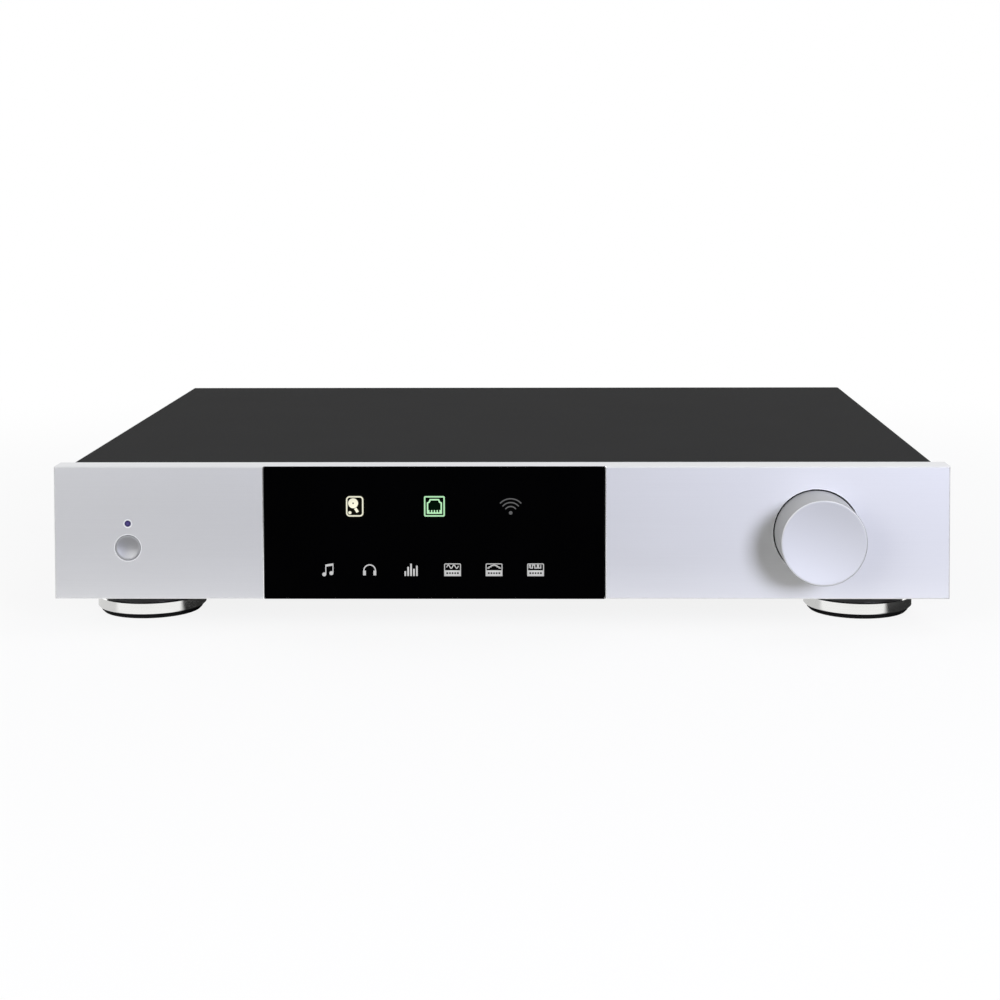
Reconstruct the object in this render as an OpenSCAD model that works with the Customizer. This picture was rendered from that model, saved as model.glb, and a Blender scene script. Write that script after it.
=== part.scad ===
// Network music streamer: a wide, low home audio component.
// The front faces -Y, +X is to the right as the listener sees it, +Z is up.
// The origin is on the floor, at the centre of the whole outline.

/* [Front panel] */
// Width of the front panel
panel_w = 430; // [420:1:450]
// Height of the front panel
panel_h = 64; // [60:0.5:80]
// Thickness of the front panel
panel_t = 14; // [13:0.5:18]
// Bevel around the front edges of the panel
panel_chamfer = 0.6; // [0.4:0.1:1.2]

/* [Display] */
// Width of the black window
window_w = 163.7; // [150:0.1:180]
// Centre of the window, from the middle of the panel
window_x = -31.9; // [-40:0.1:-25]
// Thickness of the black window
window_t = 3; // [2:0.1:4]
// How far the window lies below the face of the panel
window_inset = 0.3; // [0.1:0.1:1]
// Strip of panel left behind the window's lip, below the panel's bevel
window_land = 0.4; // [0.2:0.1:2]
// Thickness of the window's lip, which runs up to the panel's top edge
window_lip = 0.7; // [0.5:0.1:1]
// Bevel on the panel's edges beside the window
window_chamfer = 0.7; // [0.3:0.1:1]
// Width of the light box behind the window
light_box_w = 124; // [118:1:140]
// Height of the light box behind the window
light_box_h = 44; // [42:0.5:46]
// Height of the upper row of symbols above the panel's bottom edge
top_row_z = 45; // [42:0.1:46]
// Height of the lower row of symbols above the panel's bottom edge
low_row_z = 14.1; // [13:0.1:16]
// Pitch of the upper row of symbols
top_pitch = 37.4; // [30:0.1:42]
// Pitch of the lower row of symbols
low_pitch = 20; // [16:0.1:21]

/* [Standby button] */
// Diameter of the button
button_d = 12; // [9:0.1:15]
// Centre of the button from the left end of the panel
button_inset = 35.5; // [30:0.1:50]
// Centre of the button above the panel's bottom edge
button_z = 24.8; // [22:0.1:30]
// Travel of the button
button_travel = 1.2; // [0.6:0.1:1.6]
// Depth of the hollow in the button's face
button_dish = 0.9; // [0.2:0.1:1]
// Diameter of the standby light
led_d = 3; // [2:0.1:4]
// Height of the standby light above the button's centre
led_rise = 11.7; // [10:0.1:14]
// Thickness of panel left in front of the control pocket
skin_t = 4; // [3:0.1:5]

/* [Volume knob] */
// Diameter of the knob at the panel
knob_d = 40.5; // [32:0.5:46]
// Diameter of the knob's front face
knob_face_d = 40.5; // [31:0.5:45]
// How far the knob stands out of the panel
knob_out = 26; // [20:0.5:35]
// Centre of the knob from the right end of the panel
knob_inset = 63.6; // [50:0.1:75]
// Depth of the hollow in the knob's face
knob_dish = 0.8; // [0.3:0.1:1.5]
// Bevel around the knob's face
knob_chamfer = 0.6; // [0.3:0.1:1.2]
// Depth of the recess that the knob turns in
recess_depth = 2; // [1.5:0.1:3]
// Gap around the knob in its recess
recess_gap = 0.6; // [0.5:0.1:1.5]
// Bevel around the knob's recess
recess_chamfer = 0.3; // [0.3:0.1:1]
// Thickness of panel that the encoder is clamped to
encoder_wall = 4; // [3:0.1:5]
// Diameter of the encoder's shaft
shaft_d = 6; // [5:0.1:6.4]
// Length of shaft held in the knob
shaft_grip = 13; // [9:0.5:15]
// Diameter of the encoder's threaded bushing
bushing_d = 9; // [8.5:0.1:10]

/* [Case] */
// Depth of the cover behind the front panel
body_d = 320; // [300:1:360]
// Step from the end of the panel in to the cover's side
side_step = 4.5; // [2:0.5:10]
// Thickness of the cover's sheet
cover_t = 1.2; // [1:0.1:2]
// Outer radius of the cover's bends
cover_bend = 2.4; // [2.2:0.1:4]
// Step from the panel's top edge down to the cover
cover_drop = 0.5; // [0.5:0.1:3]
// Gap between the panel's back and the cover
cover_gap = 0.3; // [0.2:0.1:1]
// Height of the cover's folded rear lip
lip_h = 10; // [8:0.5:12]
// Thickness of the base tray's sheet
base_t = 1.5; // [1:0.1:2]
// Step from the panel's bottom edge up to the base tray
base_rise = 1; // [0.5:0.1:3]
// Height of the base tray's folded edges
flange_h = 9; // [8:0.5:9.5]
// Thickness of the rear panel
rear_t = 1.6; // [1.2:0.1:2.5]
// Width of the base tray's ventilation slots
vent_w = 3; // [2:0.5:4]
// Length of the base tray's ventilation slots
vent_l = 45; // [30:1:55]
// Pitch of the base tray's ventilation slots
vent_pitch = 8; // [6:0.5:9]
// Number of slots in each group
vent_count = 9; // [4:1:10]

/* [Feet] */
// Height of the base tray above the floor
foot_h = 17; // [15:0.5:25]
// Diameter of the feet over their rings
foot_d = 54; // [46:0.5:60]
// Centre of each foot from the end of the front panel
foot_inset = 36.3; // [34:0.1:45]
// Centre of the front feet behind the panel's face
foot_front = 52; // [45:0.5:60]
// Centre of the rear feet ahead of the cover's rear edge
foot_rear = 45; // [35:0.5:50]
// Height of the bright ring
ring_h = 5.7; // [4:0.1:7]
// Wall of the bright ring
ring_wall = 2.5; // [2:0.1:3.5]
// Thickness of the rubber pad
pad_h = 2.6; // [2:0.1:4]
// Diameter of the rubber pad
pad_d = 50.4; // [50:0.1:53]

/* [Rear connectors] */
// Centre of the mains inlet from the cover's left side
inlet_inset = 46; // [40:0.5:60]
// Width of the mains inlet's flange
inlet_w = 50; // [48:0.5:52]
// Height of the mains inlet's flange
inlet_h = 34; // [33:0.5:36]
// Depth of the mains inlet's body inside the case
inlet_depth = 21; // [20:0.5:24]
// Centre of the mains rocker from the centre of the inlet
rocker_pitch = 46; // [40:0.5:50]
// Swing of the mains rocker
rocker_swing = 24; // [16:1:24]
// Centre of the network jack, from the middle of the main board
lan_x = -22; // [-26:0.5:-16]
// Centre of the computer jacks, from the middle of the main board
usb_x = 8; // [4:0.5:14]
// Centre of the antenna jack, from the middle of the main board
antenna_x = 40; // [32:0.5:44]
// Reach of the antenna jack behind the rear panel
antenna_out = 10; // [8:0.5:11]
// Diameter of the antenna jack's thread
antenna_d = 6.35; // [6:0.05:6.5]
// Diameter of the phono jacks' barrels
phono_d = 8.3; // [8.2:0.05:8.4]
// Reach of the phono jacks behind the rear panel
phono_out = 12; // [11:0.5:14]
// Centre of the last phono jack from the cover's right side
phono_inset = 40; // [30:0.5:50]
// Distance between the two analogue phono jacks
phono_pitch = 24; // [20:0.5:28]
// Distance from the analogue jacks to the digital one
digital_pitch = 44; // [36:0.5:50]

/* [Inside] */
// Diameter of the transformer
transformer_d = 100; // [80:1:104]
// Height of the transformer's winding
transformer_h = 38; // [25:0.5:40]
// Bore of the transformer
transformer_bore = 36; // [30:0.5:40]
// Centre of the transformer from the cover's left side
transformer_x = 80; // [76:0.5:86]
// Centre of the transformer behind the front panel
transformer_y = 86; // [80:0.5:96]
// Thickness of the transformer's rubber pad
transformer_pad_t = 2; // [1:0.5:3]
// Thickness of the transformer's clamp plate
clamp_t = 2; // [1.5:0.1:3]
// Thickness of the circuit boards
board_t = 1.6; // [1.2:0.1:2]
// Height of the boards' standoffs
standoff_h = 9; // [9:0.5:12]
// Gap from the side walls to the outer boards
board_margin = 14; // [13:0.5:20]
// Width of the power board
power_board_w = 94; // [88:1:96]
// Depth of the power board
power_board_d = 90; // [80:1:95]
// Room behind the power board for the mains inlet
power_board_room = 45; // [42:0.5:52]
// Middle of the main board, from the middle of the case
main_board_x = -18; // [-22:0.5:-12]
// Width of the main board
main_board_w = 100; // [96:1:104]
// Depth of the main board
main_board_d = 130; // [110:1:140]
// Width of the output board
output_board_w = 126; // [120:1:132]
// Depth of the output board
output_board_d = 110; // [100:1:120]
// Diameter of the smoothing capacitors
capacitor_d = 18; // [12:0.5:19]
// Height of the smoothing capacitors
capacitor_h = 32; // [20:0.5:38]
// Width of the storage drive
drive_w = 100; // [95:0.5:102]
// Depth of the storage drive
drive_d = 70; // [65:0.5:72]
// Thickness of the storage drive
drive_t = 7; // [6:0.5:10]
// Height of the drive's bracket
bracket_h = 9; // [6:0.5:12]
// Front edge of the drive behind the front panel
drive_y = 42; // [38:0.5:60]
// Diameter of the case's screws
screw_d = 3; // [2.5:0.1:3.4]
// Diameter of the feet's screws
foot_screw_d = 4; // [3:0.1:5]

/* [Fits] */
// Gap between pieces that slide or drop into each other
slip = 0.2; // [0.1:0.05:0.3]
// Radial gap of a shaft or a screw in its hole
run = 0.05; // [0.02:0.01:0.1]

/* [Hidden] */
$fn = 48;

// Heights of the case
z_base = foot_h;
z_panel = foot_h - base_rise;
z_panel_top = z_panel + panel_h;
z_floor = z_base + base_t;
z_lid = z_panel_top - cover_drop;
z_roof = z_lid - cover_t;

// Places from the knob's face at the front to the jacks at the rear
rear_out = max(phono_out, antenna_out);
depth = knob_out + panel_t + cover_gap + body_d - cover_t + rear_out;
y_face = knob_out - depth / 2;
y_back = y_face + panel_t;
y_cover = y_back + cover_gap;
y_rear = y_cover + body_d;
y_out = y_rear - cover_t;
y_in = y_out - rear_t;

// Half widths of the cover, and of the tray and rear panel inside it
half_body = panel_w / 2 - side_step;
half_in = half_body - cover_t - slip;

// Extra length of a cutting tool past the face that it cuts
over = 1;

// Corner radius of the ventilation slots, as a share of their width
vent_round = 0.45;

// Window and the light box behind it
window_depth = window_t + window_inset;
z_window_top = z_panel_top - panel_chamfer - window_land;
light_box_z = z_panel + (top_row_z + low_row_z) / 2;
light_box_t = panel_t - window_depth;
well_top = [13, 12.5];
well_low = [12, 10];
well_rim = 1;
top_count = 3;
low_count = 6;
top_step = min(top_pitch, (light_box_w - well_top[0] - 2 * well_rim) / (top_count - 1));
low_step = min(low_pitch, (light_box_w - well_low[0] - 2 * well_rim) / (low_count - 1));
chip_size = 3;
chip_t = 1.2;
board_rim = 6;
plug_w = 18;
plug_h = 6;
plug_t = 4;

// Standby button, its switch and its light
button_x = button_inset - panel_w / 2;
button_height = z_panel + button_z;
led_height = button_height + led_rise;
button_flange_w = 1.3;
button_flange_d = button_d + 2 * button_flange_w;
button_flange_t = 1.2;
button_seat = 0.1;
button_rim = 0.8;
stem_d = 4;
switch_w = 8;
switch_t = 4.3;
switch_bore = 3.2;
stop_gap = 0.3;
plunger_d = 3.5;
plunger_in = 1.4;
pocket_gap = 0.6;
pocket_half = button_flange_d / 2 + pocket_gap;
led_flange_w = 0.9;
led_flange_d = led_d + 2 * led_flange_w;
led_flange_t = 1;
led_chip_t = 1;
control_rim = 5.5;
y_skin = y_face + skin_t;
y_switch = y_back - switch_t;
y_stem = y_switch - button_travel - stop_gap;

// Knob, encoder and what fastens them
knob_x = panel_w / 2 - knob_inset;
knob_height = z_panel + panel_h / 2;
knob_clear = 0.8;
knob_sink = recess_depth - knob_clear;
knob_l = knob_out + knob_sink;
knob_edge = 0.4;
knob_land = 0.4;
y_recess = y_face + recess_depth;
y_encoder = y_recess + encoder_wall;
encoder_half = 6.6;
washer_t = 0.5;
nut_t = 2;
nut_wall = 2.3;
nut_d = bushing_d + 2 * nut_wall;
washer_rim = 0.5;
thread_end = 1;
bushing_l = encoder_wall + washer_t + nut_t + thread_end;
hollow_gap = 2;
hollow_d = nut_d + 2 * hollow_gap;
hollow_l = bushing_l - encoder_wall - knob_clear + hollow_gap;
shaft_l = shaft_grip + hollow_l;
encoder_back = 2;
shaft_in = panel_t - recess_depth - encoder_wall - encoder_back;
shaft_flat = 0.5;
grub_d = 3;
grub_l = 6;
grub_at = hollow_l + shaft_grip / 2;
bore_end = 1;

// Screws, with their heads as shares of the thread
screw_end = 2;
head_foot = 1.87;
head_crown = 1.6;
head_rise = 0.65;
socket_share = 0.75;
socket_floor = 0.25;
panel_screw_l = 6;
z_flange_screw = z_base + (flange_h + base_t) / 2;
z_lip_screw = z_lid - lip_h / 2;
end_margin = 30;
corner_margin = 8;
window_margin = 12;
window_left = window_x - window_w / 2;
window_right = window_x + window_w / 2;
side_screw_ys = [y_cover + end_margin, (y_cover + y_rear) / 2, y_rear - end_margin];
lip_screw_xs = [for (f = [-3, -1, 1, 3]) f * (half_in - end_margin) / 3];
outer_screw_x = half_in - corner_margin;
panel_screw_xs = [-outer_screw_x, window_left - window_margin, window_right + window_margin, outer_screw_x];
rear_screw_xs = [-outer_screw_x, -half_in / 3, half_in / 3, outer_screw_x];

// Feet
foot_x = panel_w / 2 - foot_inset;
foot_ys = [y_face + foot_front, y_rear - foot_rear];
foot_step = 1;
foot_wall = 4;
foot_web = 5;
z_web = foot_h - foot_web;
core_r = foot_d / 2 - ring_wall - run;
hollow_r = core_r - foot_wall;
ring_edge = 0.5;
pad_edge = 1;
spigot_h = 1.5;
boss_h = 3;
CORNERS = ["front_left", "front_right", "rear_left", "rear_right"];

// Circuit boards as [middle x, front y, width, depth]
z_board = z_floor + standoff_h;
z_chips = z_board + board_t;
board_gap = 1;
hole_in = 5;
POWER = [board_margin + power_board_w / 2 - half_in, y_in - power_board_room - power_board_d,
    power_board_w, power_board_d];
MAIN = [main_board_x, y_in - board_gap - main_board_d, main_board_w, main_board_d];
OUTPUT = [half_in - board_margin - output_board_w / 2, y_in - board_gap - output_board_d,
    output_board_w, output_board_d];
BOARDS = [POWER, MAIN, OUTPUT];
standoff_d = 6.4;

// Parts soldered on the boards, as [width, depth, height], and their places
terminal = [30, 12, 11];
terminal_y = POWER[1] + POWER[3] - terminal[1] / 2 - 2 * hole_in;
rectifier = [16, 5, 14];
rectifier_x = 18;
rectifier_y = 12;
capacitor_gap = 2;
capacitor_edge = 1;
capacitor_y = power_board_d / 2 + 8;
heatsink_y = 20;
heatsink_h = 28;
heatsink_t = 4;
fin_pitch = 7;
fin_t = 2;
fin_l = 10;
fin_count = 9;
processor = [46, 38, 4];
memory = [10, 13, 1.4];
memory_pitch = 15;
memory_y = 32;
converter = [10, 10, 1.4];
converter_y = 34;
relay = [20, 10, 9];
relay_y = 58;
channel_x = 22;
film_capacitor = [7, 18, 11];
film_x = 44;
film_y = 46;

// Transformer
core_x = transformer_x - half_body;
core_y = y_back + transformer_y;
winding_r = 9;
pad_margin = 1;
z_winding = z_floor + transformer_pad_t;
z_clamp = z_winding + transformer_h;
bolt_d = 6;
bolt_head_d = 11.5;
bolt_head_t = 4;
bolt_boss_d = 14;
bolt_boss_h = 6;

// Storage drive
drive_gap = 12;
drive_x = half_in - board_margin - drive_w / 2 - drive_gap;
drive_edge = 0.8;
drive_corner = 2;
drive_front = y_back + drive_y;
bracket_t = 1.2;
bracket_foot = 8;

// Mains inlet, with its middle on the outer face of the rear panel
inlet_x = inlet_inset - half_body;
inlet_z = (z_base + flange_h + z_lid - lip_h) / 2;
inlet_t = 3;
inlet_corner = 3;
inlet_body_w = 28;
inlet_body_h = 31;
inlet_pitch = 20;
socket_w = 24.5;
socket_h = 16.5;
socket_cut = 5;
socket_z = 6;
socket_depth = 14;
blade = [2, 4];
blade_end = 2;
tab_l = 8;
BLADES = [[-7, -1.8], [0, 2.2], [7, -1.8]];
drawer_w = 22;
drawer_h = 6.6;
drawer_z = -10.5;
drawer_depth = inlet_depth - 2;
drawer_face = [24.5, 9, 2];
drawer_lip = 1.2;
drawer_corner = 1;
fuse_d = 5;
fuse_l = 20;
fuse_cap_l = 5;
fuse_cap_t = 0.2;

// Mains rocker, pivoting just inside the rear panel
rocker_x = inlet_x + rocker_pitch;
rocker_half_w = 5.2;
rocker_end = [7.4, 4.97];
rocker_mid = 3.4;
rocker_waist = 6.6;
rocker_foot = 4;
rocker_pivot = -2;
rocker_pin_d = 2.8;
rocker_gap = 0.3;
frame_wall = 1;
bezel_t = 2;
frame_half_w = rocker_half_w + rocker_gap + frame_wall;
frame_half_h = 9.6;
frame_depth = 10;
bezel_rim = 1;
bezel_corner = 1.5;

// Network and computer jacks, standing on the main board
jack_proud = 0.5;
lan_size = [16, 21, 13.5];
lan_hole = [11.8, 8.2];
lan_hole_z = 2;
lan_depth = 15;
lan_notch = [6.4, 1.3, 9];
usb_size = [14.4, 18, 15.8];
usb_hole = [12.5, 5.1];
usb_hole_zs = [1.4, 9.2];
usb_depth = 13.5;
tongue = [11, 11.5, 1.9];
tongue_z = 2.8;

// Phono and antenna jacks on the rear panel
phono_rise = 14;
phono_z = z_chips + phono_rise;
phono_x = half_body - phono_inset;
phono_xs = [phono_x, phono_x - phono_pitch, phono_x - phono_pitch - digital_pitch];
thread_step = 0.35;
phono_thread_d = phono_d + 2 * thread_step;
phono_washer_t = 1;
phono_washer_d = 13;
phono_flange_t = 2;
phono_flange_d = 12;
phono_wall = 1;
phono_in = 6;
phono_pin_d = 3.3;
phono_pin_l = 9;
phono_core_inset = 0.4;
jack_nut_t = 2.5;
jack_nut_share = 1.6;
antenna_hex_d = 9.2;
antenna_hex_t = 2;
antenna_in = 5;
antenna_cup_d = 4.6;
antenna_pin_d = 1.3;
antenna_cup_l = 5;
antenna_rise = 18;
antenna_z = z_chips + antenna_rise;

// Ribbon cable from the display to the main board
ribbon_w = 14;
ribbon_t = 0.5;
ribbon_bend = 6;
ribbon_rise = 4;
ribbon_z = light_box_z + ribbon_rise;
ribbon_drop = 20;
ribbon_low = z_chips + plug_h / 2;

// Mains leads from the inlet to the power board
lead_d = 2.4;
lead_bend = 6;

// Shapes that several pieces share

module block(low, high) {
    translate(low) cube(high - low);
}

// Outline drawn in x and z, made solid from y0 to y1
module solid_xz(y0, y1) {
    translate([0, y1, 0]) rotate([90, 0, 0]) linear_extrude(y1 - y0) children();
}

// Outline drawn in y and z, made solid from x0 to x1
module solid_yz(x0, x1) {
    translate([x0, 0, 0]) rotate([90, 0, 90]) linear_extrude(x1 - x0) children();
}

// Outline drawn in x and y, made solid from z0 to z1
module solid_xy(z0, z1) {
    translate([0, 0, z0]) linear_extrude(z1 - z0) children();
}

// Round bar along y
module rod_y(d, y0, y1, x = 0, z = 0) {
    translate([x, y0, z]) rotate([-90, 0, 0]) cylinder(d = d, h = y1 - y0);
}

// Six-sided bar along y, measured over its corners
module hex_y(d, y0, y1, x = 0, z = 0) {
    translate([x, y0, z]) rotate([-90, 0, 0]) cylinder(d = d, h = y1 - y0, $fn = 6);
}

// Rectangle with round corners, about the origin
module round_rect(w, h, r) {
    square([w - 2 * r, h], center = true);
    square([w, h - 2 * r], center = true);
    for (sx = [-1, 1], sz = [-1, 1]) {
        translate([sx * (w / 2 - r), sz * (h / 2 - r)]) circle(r);
    }
}

// Door-shaped outline with two round upper corners
module arch(half, low, high, r) {
    translate([-half, low]) square([2 * half, high - low - r]);
    translate([r - half, low]) square([2 * (half - r), high - low]);
    for (s = [-1, 1]) {
        translate([s * (half - r), high - r]) circle(r);
    }
}

// Screw with its head on z = 0 and its shank below
module pan_screw(d, l) {
    difference() {
        union() {
            cylinder(d1 = head_foot * d, d2 = head_crown * d, h = head_rise * d);
            translate([0, 0, -l]) cylinder(d = d, h = l + run);
        }
        translate([0, 0, socket_floor * d]) cylinder(d = socket_share * d, h = d, $fn = 6);
    }
}

// Clearance hole below z = 0
module screw_hole(d, l) {
    translate([0, 0, -l]) cylinder(d = d + 2 * run, h = l + over);
}

// Places of the screws, each with +z pointing out of the head

module side_screw_places() {
    for (s = [-1, 1], y = side_screw_ys) {
        translate([s * half_body, y, z_flange_screw]) rotate([0, s * 90, 0]) children();
    }
}

module lip_screw_places() {
    for (x = lip_screw_xs) {
        translate([x, y_rear, z_lip_screw]) rotate([-90, 0, 0]) children();
    }
}

module panel_screw_places() {
    for (x = panel_screw_xs) {
        translate([x, y_back + base_t, z_flange_screw]) rotate([-90, 0, 0]) children();
    }
}

module rear_screw_places() {
    for (x = rear_screw_xs) {
        translate([x, y_out, z_flange_screw]) rotate([-90, 0, 0]) children();
    }
}

module inlet_screw_places() {
    for (s = [-1, 1]) {
        translate([inlet_x + s * inlet_pitch, y_out + inlet_t, inlet_z])
            rotate([-90, 0, 0]) children();
    }
}

module foot_places() {
    for (sx = [-1, 1], y = foot_ys) {
        translate([sx * foot_x, y, 0]) children();
    }
}

module board_corners(board) {
    for (sx = [-1, 1], sy = [-1, 1]) {
        translate([
            board[0] + sx * (board[2] / 2 - hole_in),
            board[1] + board[3] / 2 + sy * (board[3] / 2 - hole_in),
            0
        ]) children();
    }
}

// Front panel: thick aluminium plate, bevelled all round its face
module front_panel() {
    color("silver") difference() {
        panel_blank();
        window_pocket();
        block([window_x - light_box_w / 2, y_face, light_box_z - light_box_h / 2],
            [window_x + light_box_w / 2, y_back + over, light_box_z + light_box_h / 2]);
        rod_y(button_d + 2 * slip, y_face - over, y_back, button_x, button_height);
        rod_y(led_d + 2 * run, y_face - over, y_back, button_x, led_height);
        block([button_x - pocket_half, y_skin, button_height - pocket_half],
            [button_x + pocket_half, y_back + over, led_height + led_flange_d]);
        knob_seat();
        panel_screw_places() screw_hole(screw_d, base_t + panel_screw_l + over);
    }
}

module panel_blank() {
    c = panel_chamfer;
    half = panel_w / 2;
    intersection() {
        solid_yz(-half - over, half + over) polygon([
            [y_face + c, z_panel], [y_face, z_panel + c], [y_face, z_panel_top - c],
            [y_face + c, z_panel_top], [y_back, z_panel_top], [y_back, z_panel]
        ]);
        solid_xy(z_panel - over, z_panel_top + over) polygon([
            [-half, y_back + over], [-half, y_face + c], [c - half, y_face],
            [half - c, y_face], [half, y_face + c], [half, y_back + over]
        ]);
    }
}

// Pocket for the window, open at the panel's bottom edge and shallow at its top edge
module window_pocket() {
    window_cut(z_window_top, window_depth);
    window_cut(z_panel_top + over, max(window_inset + window_lip, window_chamfer) + slip);
}

module window_cut(z_top, cut) {
    c = window_chamfer;
    half = window_w / 2;
    translate([window_x, 0, 0]) solid_xy(z_panel - over, z_top) polygon([
        [-half, y_face + cut], [-half, y_face + c], [-half - c - over, y_face - over],
        [half + c + over, y_face - over], [half, y_face + c], [half, y_face + cut]
    ]);
}

module knob_seat() {
    seat_d = knob_d + 2 * recess_gap;
    rod_y(seat_d, y_face - over, y_recess, knob_x, knob_height);
    translate([knob_x, y_face, knob_height]) rotate([90, 0, 0]) rotate_extrude() polygon([
        [0, -recess_chamfer], [seat_d / 2, -recess_chamfer],
        [seat_d / 2 + recess_chamfer + over, over], [0, over]
    ]);
    rod_y(bushing_d + 2 * run, y_face, y_back, knob_x, knob_height);
    block([knob_x - encoder_half - slip, y_encoder, knob_height - encoder_half - slip],
        [knob_x + encoder_half + slip, y_back + over, knob_height + encoder_half + slip]);
}

// Black window, bonded in its pocket, with a bevelled lip at its top
module display_window() {
    half = window_w / 2 - slip;
    c = min(max(panel_chamfer - window_inset, slip), window_lip / 2);
    y_pane = y_face + window_inset;
    y_bond = y_face + window_depth;
    color([0.02, 0.02, 0.025]) solid_yz(window_x - half, window_x + half) polygon([
        [y_pane, z_panel], [y_pane, z_panel_top - c], [y_pane + c, z_panel_top],
        [y_pane + window_lip, z_panel_top], [y_pane + window_lip, z_window_top - slip],
        [y_bond, z_window_top - slip], [y_bond, z_panel]
    ]);
}

module symbol_places(row_z, pitch, count) {
    for (i = [0 : count - 1]) {
        translate([window_x + (i - (count - 1) / 2) * pitch, 0, z_panel + row_z]) children();
    }
}

module all_symbol_places() {
    symbol_places(top_row_z, top_step, top_count) children(0);
    symbol_places(low_row_z, low_step, low_count) children(1);
}

// White frame with one light well behind each symbol
module icon_light_box() {
    half_w = light_box_w / 2 - slip;
    half_h = light_box_h / 2 - slip;
    color("white") difference() {
        block([window_x - half_w, y_back - light_box_t, light_box_z - half_h],
            [window_x + half_w, y_back, light_box_z + half_h]);
        all_symbol_places() {
            light_well(well_top);
            light_well(well_low);
        }
    }
}

module light_well(size) {
    solid_xz(y_face, y_back + over) square(size, center = true);
}

// Board behind the light box, with a light in each well and a ribbon socket
module display_board() {
    half_w = light_box_w / 2 + board_rim;
    half_h = light_box_h / 2 + board_rim;
    color("darkgreen") union() {
        block([window_x - half_w, y_back, max(light_box_z - half_h, z_base + flange_h + slip)],
            [window_x + half_w, y_back + board_t, light_box_z + half_h]);
        all_symbol_places() {
            light_chip();
            light_chip();
        }
        translate([window_x, y_back + board_t - slip, ribbon_z])
            block([-plug_w / 2, 0, -plug_h / 2], [plug_w / 2, plug_t + slip, plug_h / 2]);
    }
}

module light_chip() {
    solid_xz(y_back - chip_t, y_back + slip) square(chip_size, center = true);
}

// Round standby button with a hollow face, a flange behind the panel and a stem
module power_button() {
    dish_r = (pow(button_d / 2 - button_rim, 2) + pow(button_dish, 2)) / (2 * button_dish);
    y_flange = y_skin + button_seat;
    color("silver") difference() {
        union() {
            rod_y(button_d, y_face, y_flange + button_flange_t / 2, button_x, button_height);
            rod_y(button_flange_d, y_flange, y_flange + button_flange_t, button_x, button_height);
            rod_y(stem_d, y_flange, y_stem, button_x, button_height);
        }
        translate([button_x, y_face + button_dish - dish_r, button_height]) sphere(dish_r);
    }
}

// Plunger of the standby switch, carried by the button's stem
module switch_plunger() {
    color("dimgray") rod_y(plunger_d, y_stem, y_switch + plunger_in, button_x, button_height);
}

// Board behind the button, with the switch and the standby light
module control_board() {
    half = pocket_half + control_rim;
    low = max(button_height - half, z_base + flange_h + slip);
    high = led_height + led_flange_d + control_rim;
    color("darkgreen") difference() {
        union() {
            block([button_x - half, y_back, low], [button_x + half, y_back + board_t, high]);
            translate([button_x, 0, button_height])
                solid_xz(y_switch, y_back + slip) square(switch_w, center = true);
            translate([button_x, 0, led_height])
                solid_xz(y_back - led_chip_t, y_back + slip) square(chip_size, center = true);
        }
        rod_y(plunger_d + 2 * slip, y_switch - over, y_switch + switch_bore, button_x, button_height);
    }
}

// Clear light pipe of the standby light, flanged behind the panel
module power_led_lens() {
    color("slateblue") union() {
        rod_y(led_d, y_face, y_back - led_chip_t, button_x, led_height);
        rod_y(led_flange_d, y_skin, y_skin + led_flange_t, button_x, led_height);
    }
}

// Turned knob: tapered side, bevelled rim, hollow face and a bore for the shaft
module volume_knob() {
    r_back = knob_d / 2;
    r_face = knob_face_d / 2;
    rim = r_face - knob_chamfer;
    dish_r = (pow(rim - knob_land, 2) + pow(knob_dish, 2)) / (2 * knob_dish);
    color("silver") translate([knob_x, y_face + knob_sink, knob_height]) rotate([90, 0, 0])
        difference() {
            rotate_extrude() polygon([
                [0, 0], [r_back - knob_edge, 0], [r_back, knob_edge],
                [r_face, knob_l - knob_chamfer], [rim, knob_l], [0, knob_l]
            ]);
            translate([0, 0, -over]) cylinder(d = hollow_d, h = hollow_l + over);
            cylinder(d = shaft_d + 2 * run, h = shaft_l + bore_end);
            translate([0, 0, knob_l - knob_dish + dish_r]) rotate([90, 0, 0]) sphere(dish_r, $fn = 96);
            translate([0, 0, grub_at]) rotate([90, 0, 0])
                cylinder(d = grub_d + 2 * run, h = r_back + over);
        }
}

// Socket screw that grips the flat of the shaft from below
module knob_set_screw() {
    start = shaft_d / 2 - shaft_flat;
    color("dimgray") translate([knob_x, y_face + knob_sink - grub_at, knob_height - start])
        rotate([180, 0, 0]) difference() {
            cylinder(d = grub_d, h = grub_l);
            translate([0, 0, grub_l - grub_d / 2]) cylinder(d = grub_d / 2, h = grub_d, $fn = 6);
        }
}

// Encoder shaft with a flat for the set screw
module encoder_shaft() {
    y_tip = y_face + knob_sink - shaft_l;
    color("silver") difference() {
        rod_y(shaft_d, y_tip, y_encoder + shaft_in, knob_x, knob_height);
        translate([knob_x, 0, knob_height - shaft_d + shaft_flat]) block(
            [-shaft_d, y_tip - over, -shaft_d / 2],
            [shaft_d, y_tip + shaft_grip, shaft_d / 2]);
    }
}

// Encoder housing with its threaded bushing through the panel
module encoder_body() {
    color("gainsboro") difference() {
        union() {
            block([knob_x - encoder_half, y_encoder, knob_height - encoder_half],
                [knob_x + encoder_half, y_back, knob_height + encoder_half]);
            rod_y(bushing_d, y_encoder - bushing_l, y_encoder + run, knob_x, knob_height);
        }
        rod_y(shaft_d + 2 * run, y_encoder - bushing_l - over, y_encoder + shaft_in + run,
            knob_x, knob_height);
    }
}

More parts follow.
